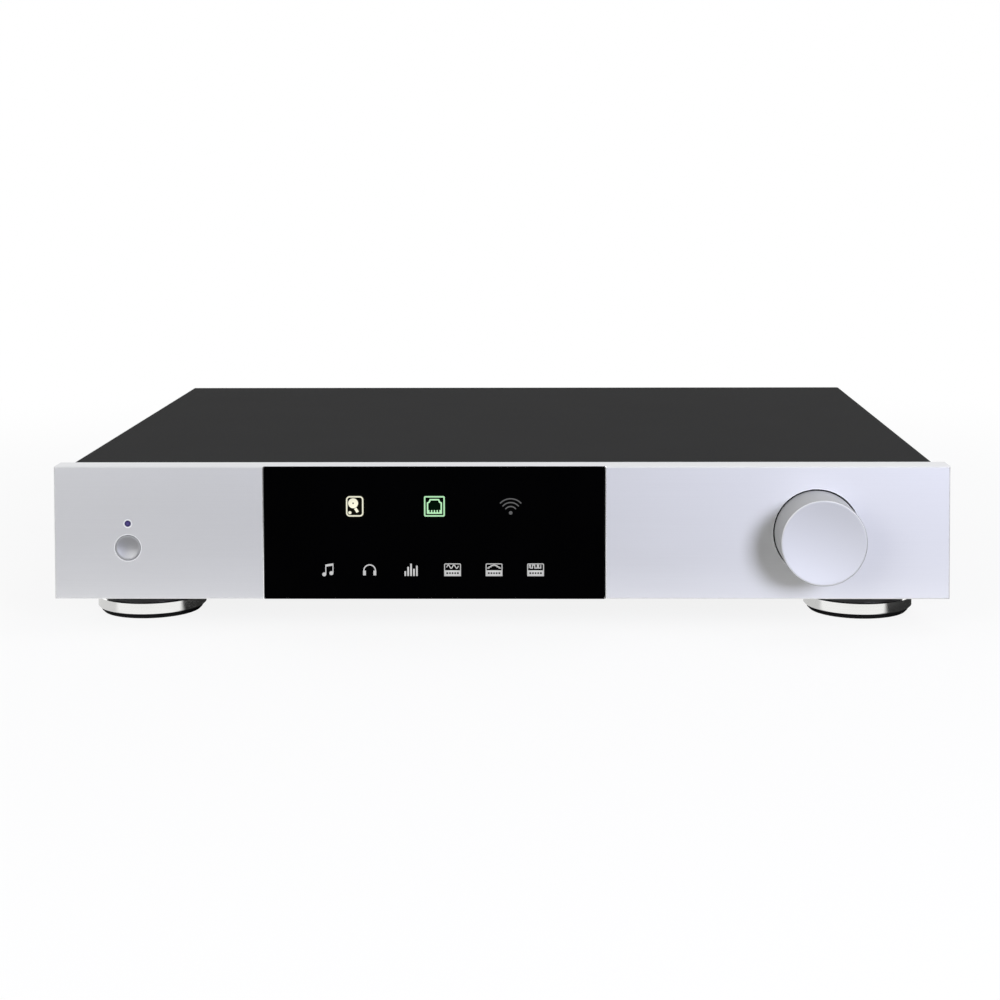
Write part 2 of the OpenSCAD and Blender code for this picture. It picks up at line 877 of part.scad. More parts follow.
// Washer and hexagon nut that clamp the encoder to the panel
module encoder_nut() {
    color("gold") difference() {
        union() {
            rod_y(nut_d + 2 * washer_rim, y_recess - washer_t, y_recess, knob_x, knob_height);
            hex_y(nut_d, y_recess - washer_t - nut_t, y_recess - washer_t + run, knob_x, knob_height);
        }
        rod_y(bushing_d + 2 * run, y_recess - washer_t - nut_t - over, y_recess + over,
            knob_x, knob_height);
    }
}

// Folded base tray: floor, four low edges, screw bosses and ventilation slots
module base_tray() {
    wall = half_in - base_t;
    color("dimgray") difference() {
        union() {
            block([-half_in, y_back, z_base], [half_in, y_in, z_floor]);
            for (s = [-1, 1]) {
                translate([s * (half_in - base_t / 2), 0, 0])
                    block([-base_t / 2, y_cover, z_base], [base_t / 2, y_in, z_base + flange_h]);
            }
            block([-wall, y_back, z_base], [wall, y_back + base_t, z_base + flange_h]);
            block([-wall, y_in - base_t, z_base], [wall, y_in, z_base + flange_h]);
            foot_places() translate([0, 0, z_base]) cylinder(d = 2 * foot_screw_d, h = base_t + boss_h);
            translate([core_x, core_y, z_base]) cylinder(d = bolt_boss_d, h = base_t + bolt_boss_h);
        }
        foot_places() cylinder(d = foot_screw_d + 2 * run, h = z_lid);
        translate([core_x, core_y, 0]) cylinder(d = bolt_d + 2 * run, h = z_lid);
        side_screw_places() screw_hole(screw_d, cover_t + base_t + over);
        panel_screw_places() screw_hole(screw_d, base_t + over);
        rear_screw_places() screw_hole(screw_d, rear_t + base_t + over);
        vent_group(MAIN[0], MAIN[1] + MAIN[3] / 2);
        vent_group(OUTPUT[0], (drive_front + drive_d + OUTPUT[1]) / 2);
    }
}

// Row of round-cornered slots about a point of the tray's floor
module vent_group(x, y) {
    for (i = [0 : vent_count - 1]) {
        translate([x + (i - (vent_count - 1) / 2) * vent_pitch, y, 0])
            solid_xy(z_base - over, z_floor + over) round_rect(vent_w, vent_l, vent_round * vent_w);
    }
}

// Folded cover: top, two sides and a lip over the rear panel
module top_cover() {
    inner = half_body - cover_t;
    color([0.2, 0.2, 0.21]) difference() {
        union() {
            solid_xz(y_cover, y_rear) difference() {
                arch(half_body, z_base, z_lid, cover_bend);
                arch(inner, z_base - over, z_roof, cover_bend - cover_t);
            }
            block([-inner - slip, y_out, z_lid - lip_h], [inner + slip, y_rear, z_roof + slip]);
        }
        rear_bend();
        side_screw_places() screw_hole(screw_d, cover_t + over);
        lip_screw_places() screw_hole(screw_d, cover_t + over);
    }
}

// Waste outside the bend from the cover's top down to its rear lip
module rear_bend() {
    solid_yz(-half_body - over, half_body + over)
        translate([y_rear - cover_bend, z_lid - cover_bend]) difference() {
            square(cover_bend + over);
            circle(cover_bend);
        }
}

// Flat rear panel with an opening for each connector
module rear_panel() {
    color([0.16, 0.16, 0.17]) difference() {
        solid_xz(y_in, y_out) arch(half_in, z_base, z_roof - slip, cover_bend);
        lip_screw_places() screw_hole(screw_d, cover_t + rear_t + over);
        rear_screw_places() screw_hole(screw_d, rear_t + over);
        inlet_screw_places() screw_hole(screw_d, inlet_t + rear_t + over);
        panel_cut(inlet_x, inlet_z, inlet_body_w, inlet_body_h);
        panel_cut(rocker_x, inlet_z, 2 * frame_half_w, 2 * frame_half_h);
        panel_cut(MAIN[0] + lan_x, z_chips + lan_size[2] / 2, lan_size[0], lan_size[2]);
        panel_cut(MAIN[0] + usb_x, z_chips + usb_size[2] / 2, usb_size[0], usb_size[2]);
        for (x = phono_xs) {
            rod_y(phono_thread_d + 2 * run, y_in - over, y_out + over, x, phono_z);
        }
        rod_y(antenna_d + 2 * run, y_in - over, y_out + over, MAIN[0] + antenna_x, antenna_z);
    }
}

module panel_cut(x, z, w, h) {
    translate([x, 0, z]) solid_xz(y_in - over, y_out + over)
        square([w + 2 * slip, h + 2 * slip], center = true);
}

// Screws through the cover's sides and rear lip
module cover_screws() {
    color("black") {
        side_screw_places() pan_screw(screw_d, cover_t + slip + base_t + screw_end);
        lip_screw_places() pan_screw(screw_d, cover_t + rear_t + screw_end);
    }
}

// Screws of the front panel, the rear panel and the mains inlet
module chassis_screws() {
    color("gray") {
        panel_screw_places() pan_screw(screw_d, base_t + panel_screw_l);
        rear_screw_places() pan_screw(screw_d, rear_t + base_t + screw_end);
        inlet_screw_places() pan_screw(screw_d, inlet_t + rear_t + screw_end);
    }
}

// Places a foot, numbered 0 to 3 in the order of CORNERS
module at_foot(i) {
    translate([(i % 2 == 0 ? -1 : 1) * foot_x, foot_ys[floor(i / 2)], 0]) children();
}

// Moulded foot with a core for the ring and a hollow for its screw
module foot_body() {
    hole_r = foot_screw_d / 2 + run;
    shoulder_r = foot_d / 2 - foot_step;
    z_ring_top = pad_h + ring_h;
    color([0.05, 0.05, 0.05]) rotate_extrude() polygon([
        [hole_r, z_web], [hollow_r, z_web], [hollow_r, pad_h], [core_r, pad_h],
        [core_r, z_ring_top], [shoulder_r, z_ring_top], [shoulder_r, foot_h], [hole_r, foot_h]
    ]);
}

// Polished ring around the foot
module foot_ring() {
    r = foot_d / 2;
    top = pad_h + ring_h;
    color("white") rotate_extrude() polygon([
        [core_r + run, pad_h], [r - ring_edge, pad_h], [r, pad_h + ring_edge],
        [r, top - ring_edge], [r - ring_edge, top], [core_r + run, top]
    ]);
}

// Rubber pad with a spigot that fills the mouth of the foot
module foot_pad() {
    r = pad_d / 2;
    spigot_r = hollow_r - slip;
    color([0.1, 0.1, 0.1]) rotate_extrude() polygon([
        [0, 0], [r - pad_edge, 0], [r, pad_edge], [r, pad_h],
        [spigot_r, pad_h], [spigot_r, pad_h + spigot_h], [0, pad_h + spigot_h]
    ]);
}

// One screw up through each foot into the tray's boss
module foot_screws() {
    color("gray") foot_places() translate([0, 0, z_web]) rotate([180, 0, 0])
        pan_screw(foot_screw_d, foot_web + base_t + boss_h);
}

// Ring-core transformer with rounded corners
module transformer_winding() {
    wall = (transformer_d - transformer_bore) / 2;
    color("goldenrod") translate([core_x, core_y, z_winding + transformer_h / 2])
        rotate_extrude() translate([(transformer_d + transformer_bore) / 4, 0])
            round_rect(wall, transformer_h, winding_r);
}

module transformer_pad() {
    color([0.1, 0.1, 0.1]) translate([core_x, core_y, z_floor]) difference() {
        cylinder(d = transformer_d - 2 * pad_margin, h = transformer_pad_t);
        translate([0, 0, -over]) cylinder(d = transformer_bore, h = transformer_pad_t + 2 * over);
    }
}

// Steel plate that clamps the transformer down
module transformer_plate() {
    edge = clamp_t / 3;
    r = transformer_d / 2 - winding_r;
    color("gray") translate([core_x, core_y, z_clamp]) rotate_extrude() polygon([
        [bolt_d / 2 + run, 0], [r, 0], [r, clamp_t - edge],
        [r - edge, clamp_t], [bolt_d / 2 + run, clamp_t]
    ]);
}

// Bolt through the clamp plate into the tray's boss
module transformer_bolt() {
    top = z_clamp + clamp_t;
    color("silver") translate([core_x, core_y, 0]) union() {
        translate([0, 0, top]) cylinder(d = bolt_head_d, h = bolt_head_t, $fn = 6);
        translate([0, 0, z_base]) cylinder(d = bolt_d, h = top - z_base + run);
    }
}

// Circuit board with a hole in each corner
module board_blank(board) {
    difference() {
        block([board[0] - board[2] / 2, board[1], z_board],
            [board[0] + board[2] / 2, board[1] + board[3], z_chips]);
        board_corners(board) translate([0, 0, z_chips]) screw_hole(screw_d, board_t + over);
    }
}

// Part soldered on a board, from the board's front middle
module soldered(board, x, y, size) {
    translate([board[0] + x - size[0] / 2, board[1] + y - size[1] / 2, z_chips - slip])
        cube([size[0], size[1], size[2] + slip]);
}

// Power board with its mains terminals and rectifiers
module power_board() {
    color("darkgreen") union() {
        board_blank(POWER);
        soldered(POWER, inlet_x - POWER[0], terminal_y - POWER[1], terminal);
        for (i = [-1, 1]) {
            soldered(POWER, i * rectifier_x, rectifier_y, rectifier);
        }
    }
}

// Row of smoothing capacitors with bevelled tops
module smoothing_capacitors() {
    edge = capacitor_edge;
    r = capacitor_d / 2;
    color("midnightblue") for (i = [-1.5 : 1.5]) {
        translate([POWER[0] + i * (capacitor_d + capacitor_gap), POWER[1] + capacitor_y, z_chips])
            rotate_extrude() polygon([
                [0, 0], [r, 0], [r, capacitor_h - edge], [r - edge, capacitor_h], [0, capacitor_h]
            ]);
    }
}

// Finned aluminium heatsink standing on the power board
module regulator_heatsink() {
    width = fin_pitch * (fin_count - 1) + fin_t;
    color("gray") translate([POWER[0], POWER[1] + heatsink_y, 0])
        solid_xy(z_chips, z_chips + heatsink_h) union() {
            translate([0, -heatsink_t / 2]) square([width, heatsink_t], center = true);
            for (i = [0 : fin_count - 1]) {
                translate([i * fin_pitch - width / 2, -run]) square([fin_t, fin_l]);
            }
        }
}

// Main board with its processor module, memory and ribbon socket
module main_board() {
    color("darkgreen") union() {
        board_blank(MAIN);
        soldered(MAIN, 0, MAIN[3] / 2, processor);
        for (i = [-1.5 : 1.5]) {
            soldered(MAIN, i * memory_pitch, MAIN[3] / 2 - memory_y, memory);
        }
        soldered(MAIN, window_x - MAIN[0], plug_t / 2, [plug_w, plug_t, plug_h]);
    }
}

// Output board with converters, relays and film capacitors
module output_board() {
    color("darkgreen") union() {
        board_blank(OUTPUT);
        for (i = [-1, 1]) {
            soldered(OUTPUT, i * channel_x, converter_y, converter);
            soldered(OUTPUT, i * channel_x, relay_y, relay);
            soldered(OUTPUT, i * film_x, film_y, film_capacitor);
        }
    }
}

// Storage drive lying on its bracket
module storage_drive() {
    z = z_floor + bracket_h;
    edge = drive_edge;
    half = drive_w / 2;
    color("gray") translate([drive_x, 0, z]) intersection() {
        solid_xz(drive_front, drive_front + drive_d) polygon([
            [-half, 0], [half, 0], [half, drive_t - edge], [half - edge, drive_t],
            [edge - half, drive_t], [-half, drive_t - edge]
        ]);
        solid_xy(-over, drive_t + over) translate([0, drive_front + drive_d / 2])
            round_rect(drive_w, drive_d, drive_corner);
    }
}

// Folded bracket that carries the drive above the tray
module drive_bracket() {
    half = drive_w / 2 - bracket_foot;
    color("silver") translate([drive_x, 0, z_floor])
        solid_xz(drive_front + bracket_foot, drive_front + drive_d - bracket_foot) union() {
            translate([-half, bracket_h - bracket_t]) square([2 * half, bracket_t]);
            for (s = [-1, 1]) {
                translate([s * (half - bracket_t / 2) - bracket_t / 2, 0]) square([bracket_t, bracket_h]);
                translate([s * (half + bracket_foot / 2 - bracket_t) - bracket_foot / 2, 0])
                    square([bracket_foot, bracket_t]);
            }
        }
}

module board_standoffs() {
    color("gold") for (board = BOARDS) {
        board_corners(board) translate([0, 0, z_floor]) difference() {
            cylinder(d = standoff_d, h = standoff_h, $fn = 6);
            translate([0, 0, standoff_h]) screw_hole(screw_d, standoff_h - base_t);
        }
    }
}

module board_screws() {
    color("silver") for (board = BOARDS) {
        board_corners(board) translate([0, 0, z_chips])
            pan_screw(screw_d, board_t + standoff_h / 2);
    }
}

// Quarter bend of a strip, about the origin, in the quadrant given by two signs
module strip_bend(sy, sz) {
    intersection() {
        difference() {
            circle(ribbon_bend + ribbon_t / 2);
            circle(ribbon_bend - ribbon_t / 2);
        }
        translate([sy > 0 ? 0 : -2 * ribbon_bend, sz > 0 ? 0 : -2 * ribbon_bend])
            square(2 * ribbon_bend);
    }
}

// Ribbon cable: back from the display, down, and back to the main board
module display_cable() {
    y_start = y_back + board_t + plug_t;
    y_end = MAIN[1];
    y_drop = y_end - ribbon_drop;
    color("white") solid_yz(window_x - ribbon_w / 2, window_x + ribbon_w / 2) union() {
        translate([y_start, ribbon_z - ribbon_t / 2])
            square([y_drop - ribbon_bend - y_start, ribbon_t]);
        translate([y_drop - ribbon_bend, ribbon_z - ribbon_bend]) strip_bend(1, 1);
        translate([y_drop - ribbon_t / 2, ribbon_low + ribbon_bend])
            square([ribbon_t, ribbon_z - ribbon_low - 2 * ribbon_bend]);
        translate([y_drop + ribbon_bend, ribbon_low + ribbon_bend]) strip_bend(-1, -1);
        translate([y_drop + ribbon_bend, ribbon_low - ribbon_t / 2])
            square([y_end - y_drop - ribbon_bend, ribbon_t]);
    }
}

// Two mains leads: forward from the inlet's tabs and down into the terminals
module mains_leads() {
    y_tab = y_out - inlet_depth - tab_l;
    z_lead = inlet_z + socket_z + BLADES[0][1];
    z_terminal = z_chips + terminal[2];
    color("saddlebrown") for (b = [BLADES[0], BLADES[2]]) {
        translate([inlet_x + b[0], 0, 0]) union() {
            rod_y(lead_d, terminal_y + lead_bend, y_tab, 0, z_lead);
            translate([0, terminal_y + lead_bend, z_lead - lead_bend]) rotate([90, 0, -90])
                rotate_extrude(angle = 90) translate([lead_bend, 0]) circle(d = lead_d);
            translate([0, terminal_y, z_terminal])
                cylinder(d = lead_d, h = z_lead - lead_bend - z_terminal);
        }
    }
}

// Places a piece on the rear panel's outer face, with +y outwards
module on_rear(x, z) {
    translate([x, y_out, z]) children();
}

// Mains inlet: flange, body, socket with two cut corners and a slot for the fuse drawer
module mains_inlet() {
    w = socket_w / 2;
    h = socket_h / 2;
    color([0.06, 0.06, 0.06]) on_rear(inlet_x, inlet_z) difference() {
        union() {
            solid_xz(0, inlet_t) round_rect(inlet_w, inlet_h, inlet_corner);
            block([-inlet_body_w / 2, -inlet_depth, -inlet_body_h / 2],
                [inlet_body_w / 2, run, inlet_body_h / 2]);
        }
        translate([0, 0, socket_z]) solid_xz(-socket_depth, inlet_t + over) polygon([
            [-w, h], [w, h], [w, socket_cut - h], [w - socket_cut, -h],
            [socket_cut - w, -h], [-w, socket_cut - h]
        ]);
        translate([0, 0, drawer_z]) solid_xz(-drawer_depth, inlet_t + over)
            square([drawer_w, drawer_h], center = true);
        translate([0, 0, socket_z]) for (b = BLADES) {
            translate([b[0], 0, b[1]]) solid_xz(-inlet_depth - over, 0)
                square([blade[0] + 2 * run, blade[1] + 2 * run], center = true);
        }
        for (s = [-1, 1]) {
            translate([s * inlet_pitch, inlet_t, 0]) rotate([-90, 0, 0])
                screw_hole(screw_d, inlet_t + over);
        }
    }
}

// Three blades of the inlet, with tabs behind
module inlet_pins() {
    color("silver") on_rear(inlet_x, inlet_z + socket_z) for (b = BLADES) {
        translate([b[0], 0, b[1]]) solid_xz(-inlet_depth - tab_l, -blade_end)
            square(blade, center = true);
    }
}

// Fuse drawer: face plate with a finger lip, and a tongue with a cradle
module fuse_drawer() {
    half = drawer_w / 2 - slip;
    high = drawer_h / 2 - slip;
    f = drawer_face;
    y_lip = inlet_t + f[2];
    color([0.08, 0.08, 0.08]) on_rear(inlet_x, inlet_z + drawer_z) difference() {
        union() {
            solid_xz(inlet_t, y_lip) round_rect(f[0], f[1], drawer_corner);
            block([-half, slip - drawer_depth, -high], [half, inlet_t + run, high]);
            block([-half, y_lip - run, -f[1] / 2], [half, y_lip + drawer_lip, drawer_lip - f[1] / 2]);
        }
        block([-fuse_l / 2 - run, -drawer_depth / 2 - fuse_d / 2 - run, -fuse_d / 2 - run],
            [fuse_l / 2 + run, -drawer_depth / 2 + fuse_d / 2 + run, high + over]);
    }
}

// Fuse lying across the drawer's cradle
module mains_fuse() {
    color("silver") on_rear(inlet_x, inlet_z + drawer_z)
        translate([-fuse_l / 2, -drawer_depth / 2, 0]) rotate([0, 90, 0]) union() {
            cylinder(d = fuse_d, h = fuse_cap_l);
            cylinder(d = fuse_d - 2 * fuse_cap_t, h = fuse_l);
            translate([0, 0, fuse_l - fuse_cap_l]) cylinder(d = fuse_d, h = fuse_cap_l);
        }
}

// Frame of the mains rocker: bezel outside, open box inside
module rocker_frame() {
    hole_w = rocker_half_w + rocker_gap;
    hole_h = frame_half_h - frame_wall;
    color([0.06, 0.06, 0.06]) on_rear(rocker_x, inlet_z) difference() {
        union() {
            solid_xz(0, bezel_t)
                round_rect(2 * (frame_half_w + bezel_rim), 2 * (frame_half_h + bezel_rim), bezel_corner);
            block([-frame_half_w, -frame_depth, -frame_half_h], [frame_half_w, run, frame_half_h]);
        }
        block([-hole_w, frame_wall - frame_depth, -hole_h], [hole_w, bezel_t + over, hole_h]);
        translate([-frame_half_w - over, rocker_pivot, 0]) rotate([0, 90, 0])
            cylinder(d = rocker_pin_d + 2 * run, h = 2 * (frame_half_w + over));
    }
}

// Rocker with a shallow V face and two pivot pins, resting with its upper end out
module mains_rocker() {
    e = rocker_end;
    pin_half = frame_half_w - slip;
    color([0.1, 0.1, 0.1]) on_rear(rocker_x, inlet_z) translate([0, rocker_pivot, 0])
        rotate([-rocker_swing / 2, 0, 0]) union() {
            solid_yz(-rocker_half_w, rocker_half_w) polygon([
                [e[1], -e[0]], [rocker_mid, 0], [e[1], e[0]], [0, rocker_waist],
                [-rocker_foot, rocker_foot], [-rocker_foot, -rocker_foot], [0, -rocker_waist]
            ]);
            translate([-pin_half, 0, 0]) rotate([0, 90, 0]) cylinder(d = rocker_pin_d, h = 2 * pin_half);
        }
}

// Network jack: shielded box with its keyed opening
module lan_jack() {
    s = lan_size;
    hole = lan_hole;
    z_mid = lan_hole_z + hole[1] / 2;
    color("silver") on_rear(MAIN[0] + lan_x, z_chips) difference() {
        block([-s[0] / 2, jack_proud - s[1], 0], [s[0] / 2, jack_proud, s[2]]);
        block([-hole[0] / 2, jack_proud - lan_depth, lan_hole_z],
            [hole[0] / 2, over, lan_hole_z + hole[1]]);
        block([-lan_notch[0] / 2, jack_proud - lan_notch[2], lan_hole_z - lan_notch[1]],
            [lan_notch[0] / 2, over, z_mid]);
    }
}

// Two stacked computer jacks in one shield
module usb_jack() {
    s = usb_size;
    color("silver") on_rear(MAIN[0] + usb_x, z_chips) difference() {
        block([-s[0] / 2, jack_proud - s[1], 0], [s[0] / 2, jack_proud, s[2]]);
        for (z = usb_hole_zs) {
            block([-usb_hole[0] / 2, jack_proud - usb_depth, z],
                [usb_hole[0] / 2, over, z + usb_hole[1]]);
        }
    }
}

module usb_tongues() {
    color("white") on_rear(MAIN[0] + usb_x, z_chips) for (z = usb_hole_zs) {
        translate([-tongue[0] / 2, jack_proud - usb_depth, z + tongue_z]) cube(tongue);
    }
}

// Barrel, flange and thread of each phono jack
module phono_barrels() {
    start = phono_washer_t + phono_flange_t;
    back = -rear_t - phono_in;
    color("gold") for (x = phono_xs) {
        on_rear(x, phono_z) difference() {
            union() {
                rod_y(phono_thread_d, back, phono_washer_t + run);
                rod_y(phono_flange_d, phono_washer_t, start);
                rod_y(phono_d, start - run, phono_out);
            }
            rod_y(phono_d - 2 * phono_wall, back - over, phono_out + over);
        }
    }
}

// White insulator of each phono jack, with its contact hole
module phono_cores() {
    core_d = phono_d - 2 * phono_wall - 2 * run;
    front = phono_out - phono_core_inset;
    color("white") for (x = phono_xs) {
        on_rear(x, phono_z) difference() {
            rod_y(core_d, -rear_t - phono_in - over, front);
            rod_y(phono_pin_d, front - phono_pin_l, front + over);
        }
    }
}

module phono_washers() {
    color("firebrick") for (x = phono_xs) {
        on_rear(x, phono_z) difference() {
            rod_y(phono_washer_d, 0, phono_washer_t);
            rod_y(phono_thread_d + 2 * run, -over, phono_washer_t + over);
        }
    }
}

// Threaded antenna jack with its hexagon shoulder and contact pin
module antenna_jack() {
    color("gold") on_rear(MAIN[0] + antenna_x, antenna_z) difference() {
        union() {
            rod_y(antenna_d, -rear_t - antenna_in, antenna_out);
            hex_y(antenna_hex_d, 0, antenna_hex_t);
        }
        difference() {
            rod_y(antenna_cup_d, antenna_out - antenna_cup_l, antenna_out + over);
            rod_y(antenna_pin_d, 0, antenna_out - phono_core_inset);
        }
    }
}

// Hexagon nuts behind the rear panel
module jack_nuts() {
    color("silver") {
        for (x = phono_xs) {
            jack_nut(x, phono_z, phono_thread_d);
        }
        jack_nut(MAIN[0] + antenna_x, antenna_z, antenna_d);
    }
}

module jack_nut(x, z, thread) {
    on_rear(x, z) difference() {
        hex_y(jack_nut_share * thread, -rear_t - jack_nut_t, -rear_t);
        rod_y(thread + 2 * run, -rear_t - jack_nut_t - over, over);
    }
}

// Drawing

front_panel();
display_window();
icon_light_box();
display_board();
power_button();
switch_plunger();
control_board();
power_led_lens();
volume_knob();
knob_set_screw();
encoder_shaft();
encoder_body();
encoder_nut();
base_tray();
top_cover();
rear_panel();
cover_screws();
chassis_screws();
for (i = [0 : 3]) {
    at_foot(i) foot_body();
    at_foot(i) foot_ring();
    at_foot(i) foot_pad();
}
foot_screws();
transformer_winding();
transformer_pad();
transformer_plate();
transformer_bolt();
power_board();
smoothing_capacitors();
regulator_heatsink();
main_board();
output_board();
storage_drive();
drive_bracket();
board_standoffs();
board_screws();
display_cable();
mains_leads();
mains_inlet();
inlet_pins();
fuse_drawer();
mains_fuse();
rocker_frame();
mains_rocker();
lan_jack();
usb_jack();
usb_tongues();
phono_barrels();
phono_cores();
phono_washers();
antenna_jack();
jack_nuts();
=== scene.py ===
import math

import bmesh
import bpy
from mathutils import Matrix, Vector


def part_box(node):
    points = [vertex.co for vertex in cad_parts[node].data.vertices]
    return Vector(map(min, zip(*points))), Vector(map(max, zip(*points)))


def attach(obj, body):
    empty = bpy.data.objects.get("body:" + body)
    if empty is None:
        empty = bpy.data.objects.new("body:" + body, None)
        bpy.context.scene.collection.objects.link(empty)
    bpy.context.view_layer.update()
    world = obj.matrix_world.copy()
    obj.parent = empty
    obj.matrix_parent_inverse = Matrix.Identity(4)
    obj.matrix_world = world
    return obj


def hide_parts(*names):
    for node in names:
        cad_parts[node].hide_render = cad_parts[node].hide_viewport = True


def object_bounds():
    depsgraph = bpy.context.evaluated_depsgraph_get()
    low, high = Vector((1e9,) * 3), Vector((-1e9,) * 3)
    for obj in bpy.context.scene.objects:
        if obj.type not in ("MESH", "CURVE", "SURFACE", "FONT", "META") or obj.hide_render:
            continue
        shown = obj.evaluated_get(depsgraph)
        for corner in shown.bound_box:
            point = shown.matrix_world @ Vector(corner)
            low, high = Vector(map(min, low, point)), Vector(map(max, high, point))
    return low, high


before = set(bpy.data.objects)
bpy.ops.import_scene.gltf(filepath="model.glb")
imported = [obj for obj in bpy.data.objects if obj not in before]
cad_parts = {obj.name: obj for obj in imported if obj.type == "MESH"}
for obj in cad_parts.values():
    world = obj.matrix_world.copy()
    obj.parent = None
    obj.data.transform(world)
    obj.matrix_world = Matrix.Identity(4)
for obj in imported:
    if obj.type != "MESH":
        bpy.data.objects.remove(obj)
cad_low, cad_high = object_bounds()


# Base tray and drive bracket
# Steel sheet, punched and folded into a shallow tray and powder coated black. It carries the feet
# below and the transformer, boards and drive above. The drive's bracket is bent from the same sheet.
MM = 0.001
TRAY_BLACK = (0.020, 0.020, 0.021)


class Value:
    """A socket of a node tree. Arithmetic on it adds Math nodes to the tree."""

    def __init__(self, graph, socket):
        self.graph = graph
        self.socket = socket

    def math(self, operation, other=0.0):
        return self.graph.node("ShaderNodeMath", {"operation": operation}, {0: self, 1: other})

    def __add__(self, other):
        return self.math("ADD", other)

    def __sub__(self, other):
        return self.math("SUBTRACT", other)

    def __rsub__(self, other):
        return self.graph.node("ShaderNodeMath", {"operation": "SUBTRACT"}, {0: other, 1: self})

    def __mul__(self, other):
        return self.math("MULTIPLY", other)

    def __truediv__(self, other):
        return self.math("DIVIDE", other)

    def __gt__(self, other):
        return self.math("GREATER_THAN", other)

    def __lt__(self, other):
        return self.math("LESS_THAN", other)

    __radd__ = __add__
    __rmul__ = __mul__


class Graph:
    """A node tree that is built with one call for each node."""

    def __init__(self, tree):
        self.tree = tree
        self.tree.nodes.clear()

    def node(self, kind, settings=None, sockets=None, out=0):
        """Adds a node, sets it up, fills its sockets with numbers or Values and returns one output."""
        made = self.tree.nodes.new(kind)
        for name, setting in (settings or {}).items():
            setattr(made, name, setting)
        for key, given in (sockets or {}).items():
            socket = made.inputs[key]
            if isinstance(given, Value):
                self.tree.links.new(given.socket, socket)
            elif socket.type == "RGBA":
                socket.default_value = (*given[:3], 1.0)
            else:
                socket.default_value = given
        return Value(self, made.outputs[out]) if made.outputs else None

    def step(self, value, low, high):
        """0 below low, 1 above high and a smooth rise between."""
        return self.node(
            "ShaderNodeMapRange", {"interpolation_type": "SMOOTHSTEP"},
            {"Value": value, "From Min": low, "From Max": high})

    def mix(self, share, first, second):
        """A colour between two others."""
        return self.node("ShaderNodeMix", {"data_type": "RGBA"}, {0: share, 6: first, 7: second}, out=2)


class Finish(Graph):
    """A material with one Principled shader. Its patterns lie in Object coordinates, in metres."""

    def __init__(self, name):
        self.material = bpy.data.materials.new(name)
        self.material.use_nodes = True
        super().__init__(self.material.node_tree)

    def at(self, size=1.0, centre=(0, 0, 0)):
        """The place on the piece, counted from a centre in steps of the given size."""
        steps = size if isinstance(size, tuple) else (size, size, size)
        place = self.node("ShaderNodeTexCoord", out="Object")
        return self.node(
            "ShaderNodeMapping", {"vector_type": "TEXTURE"},
            {"Vector": place, "Location": tuple(centre), "Scale": steps})

    def along(self, axis, centre=(0, 0, 0)):
        """Distance from a centre along X, Y or Z."""
        return self.node("ShaderNodeSeparateXYZ", None, {0: self.at(1.0, centre)}, out=axis)

    def reach(self, centre, keep=(1, 1, 1)):
        """Distance from a centre, or from an axis through it where one direction isn't kept."""
        flat = self.node(
            "ShaderNodeVectorMath", {"operation": "MULTIPLY"}, {0: self.at(1.0, centre), 1: keep})
        return self.node("ShaderNodeVectorMath", {"operation": "LENGTH"}, {0: flat}, out="Value")

    def noise(self, size, detail=2.0):
        """Soft random lumps of the given size, from 0 to 1."""
        return self.node(
            "ShaderNodeTexNoise", None, {"Vector": self.at(size), "Scale": 1.0, "Detail": detail})

    def lines(self, distance, pitch):
        """Random lines across a distance, about one pitch apart."""
        return self.node(
            "ShaderNodeTexNoise", {"noise_dimensions": "1D"},
            {"W": distance / pitch, "Scale": 1.0, "Detail": 1.0})

    def bump(self, height, relief):
        """A normal that follows a height from 0 to 1, which stands for the given relief."""
        return self.node("ShaderNodeBump", None, {"Height": height, "Strength": 1.0, "Distance": relief})

    def shade(self, sockets):
        """Ends the tree in its shader and returns the material."""
        surface = self.node("ShaderNodeBsdfPrincipled", None, sockets)
        self.node("ShaderNodeOutputMaterial", None, {"Surface": surface})
        return self.material


def toned(colour, share):
    """The same colour, lighter or darker."""
    return tuple(share * part for part in colour)


def middle_of(node):
    """The middle of a CAD piece's box."""
    low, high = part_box(node)
    return (low + high) / 2


def dress(material, *names):
    """Gives a material to the CAD pieces of these names."""
    for name in names:
        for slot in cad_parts[name].material_slots:
            slot.material = material


def powder_coat(name, colour, grain=0.5 * MM, relief=0.012 * MM, gloss=0.12):
    """Baked powder paint: fine orange peel, faint clouds of colour and a low, broad sheen."""
    finish = Finish(name)
    peel = finish.noise(grain, detail=3.0)
    cloud = finish.noise(45 * MM)
    return finish.shade({
        "Base Color": finish.mix(cloud, toned(colour, 0.88), toned(colour, 1.12)),
        "Roughness": 0.66 + 0.14 * peel,
        "Specular IOR Level": gloss,
        "Normal": finish.bump(peel, relief),
    })


dress(powder_coat("tray_powder_coat", TRAY_BLACK, grain=0.7 * MM), "base_tray", "drive_bracket")


# Feet
# A turned black plastic body, a polished steel ring pressed over it and a rubber pad glued under it.
# One screw through the middle of each foot holds it to a boss in the tray.
CORNERS = ("front_left", "front_right", "rear_left", "rear_right")
FOOT_BLACK = (0.011, 0.011, 0.012)
RING_STEEL = (0.86, 0.86, 0.845)
PAD_BLACK = (0.004, 0.004, 0.004)
SCREW_STEEL = (0.56, 0.55, 0.52)


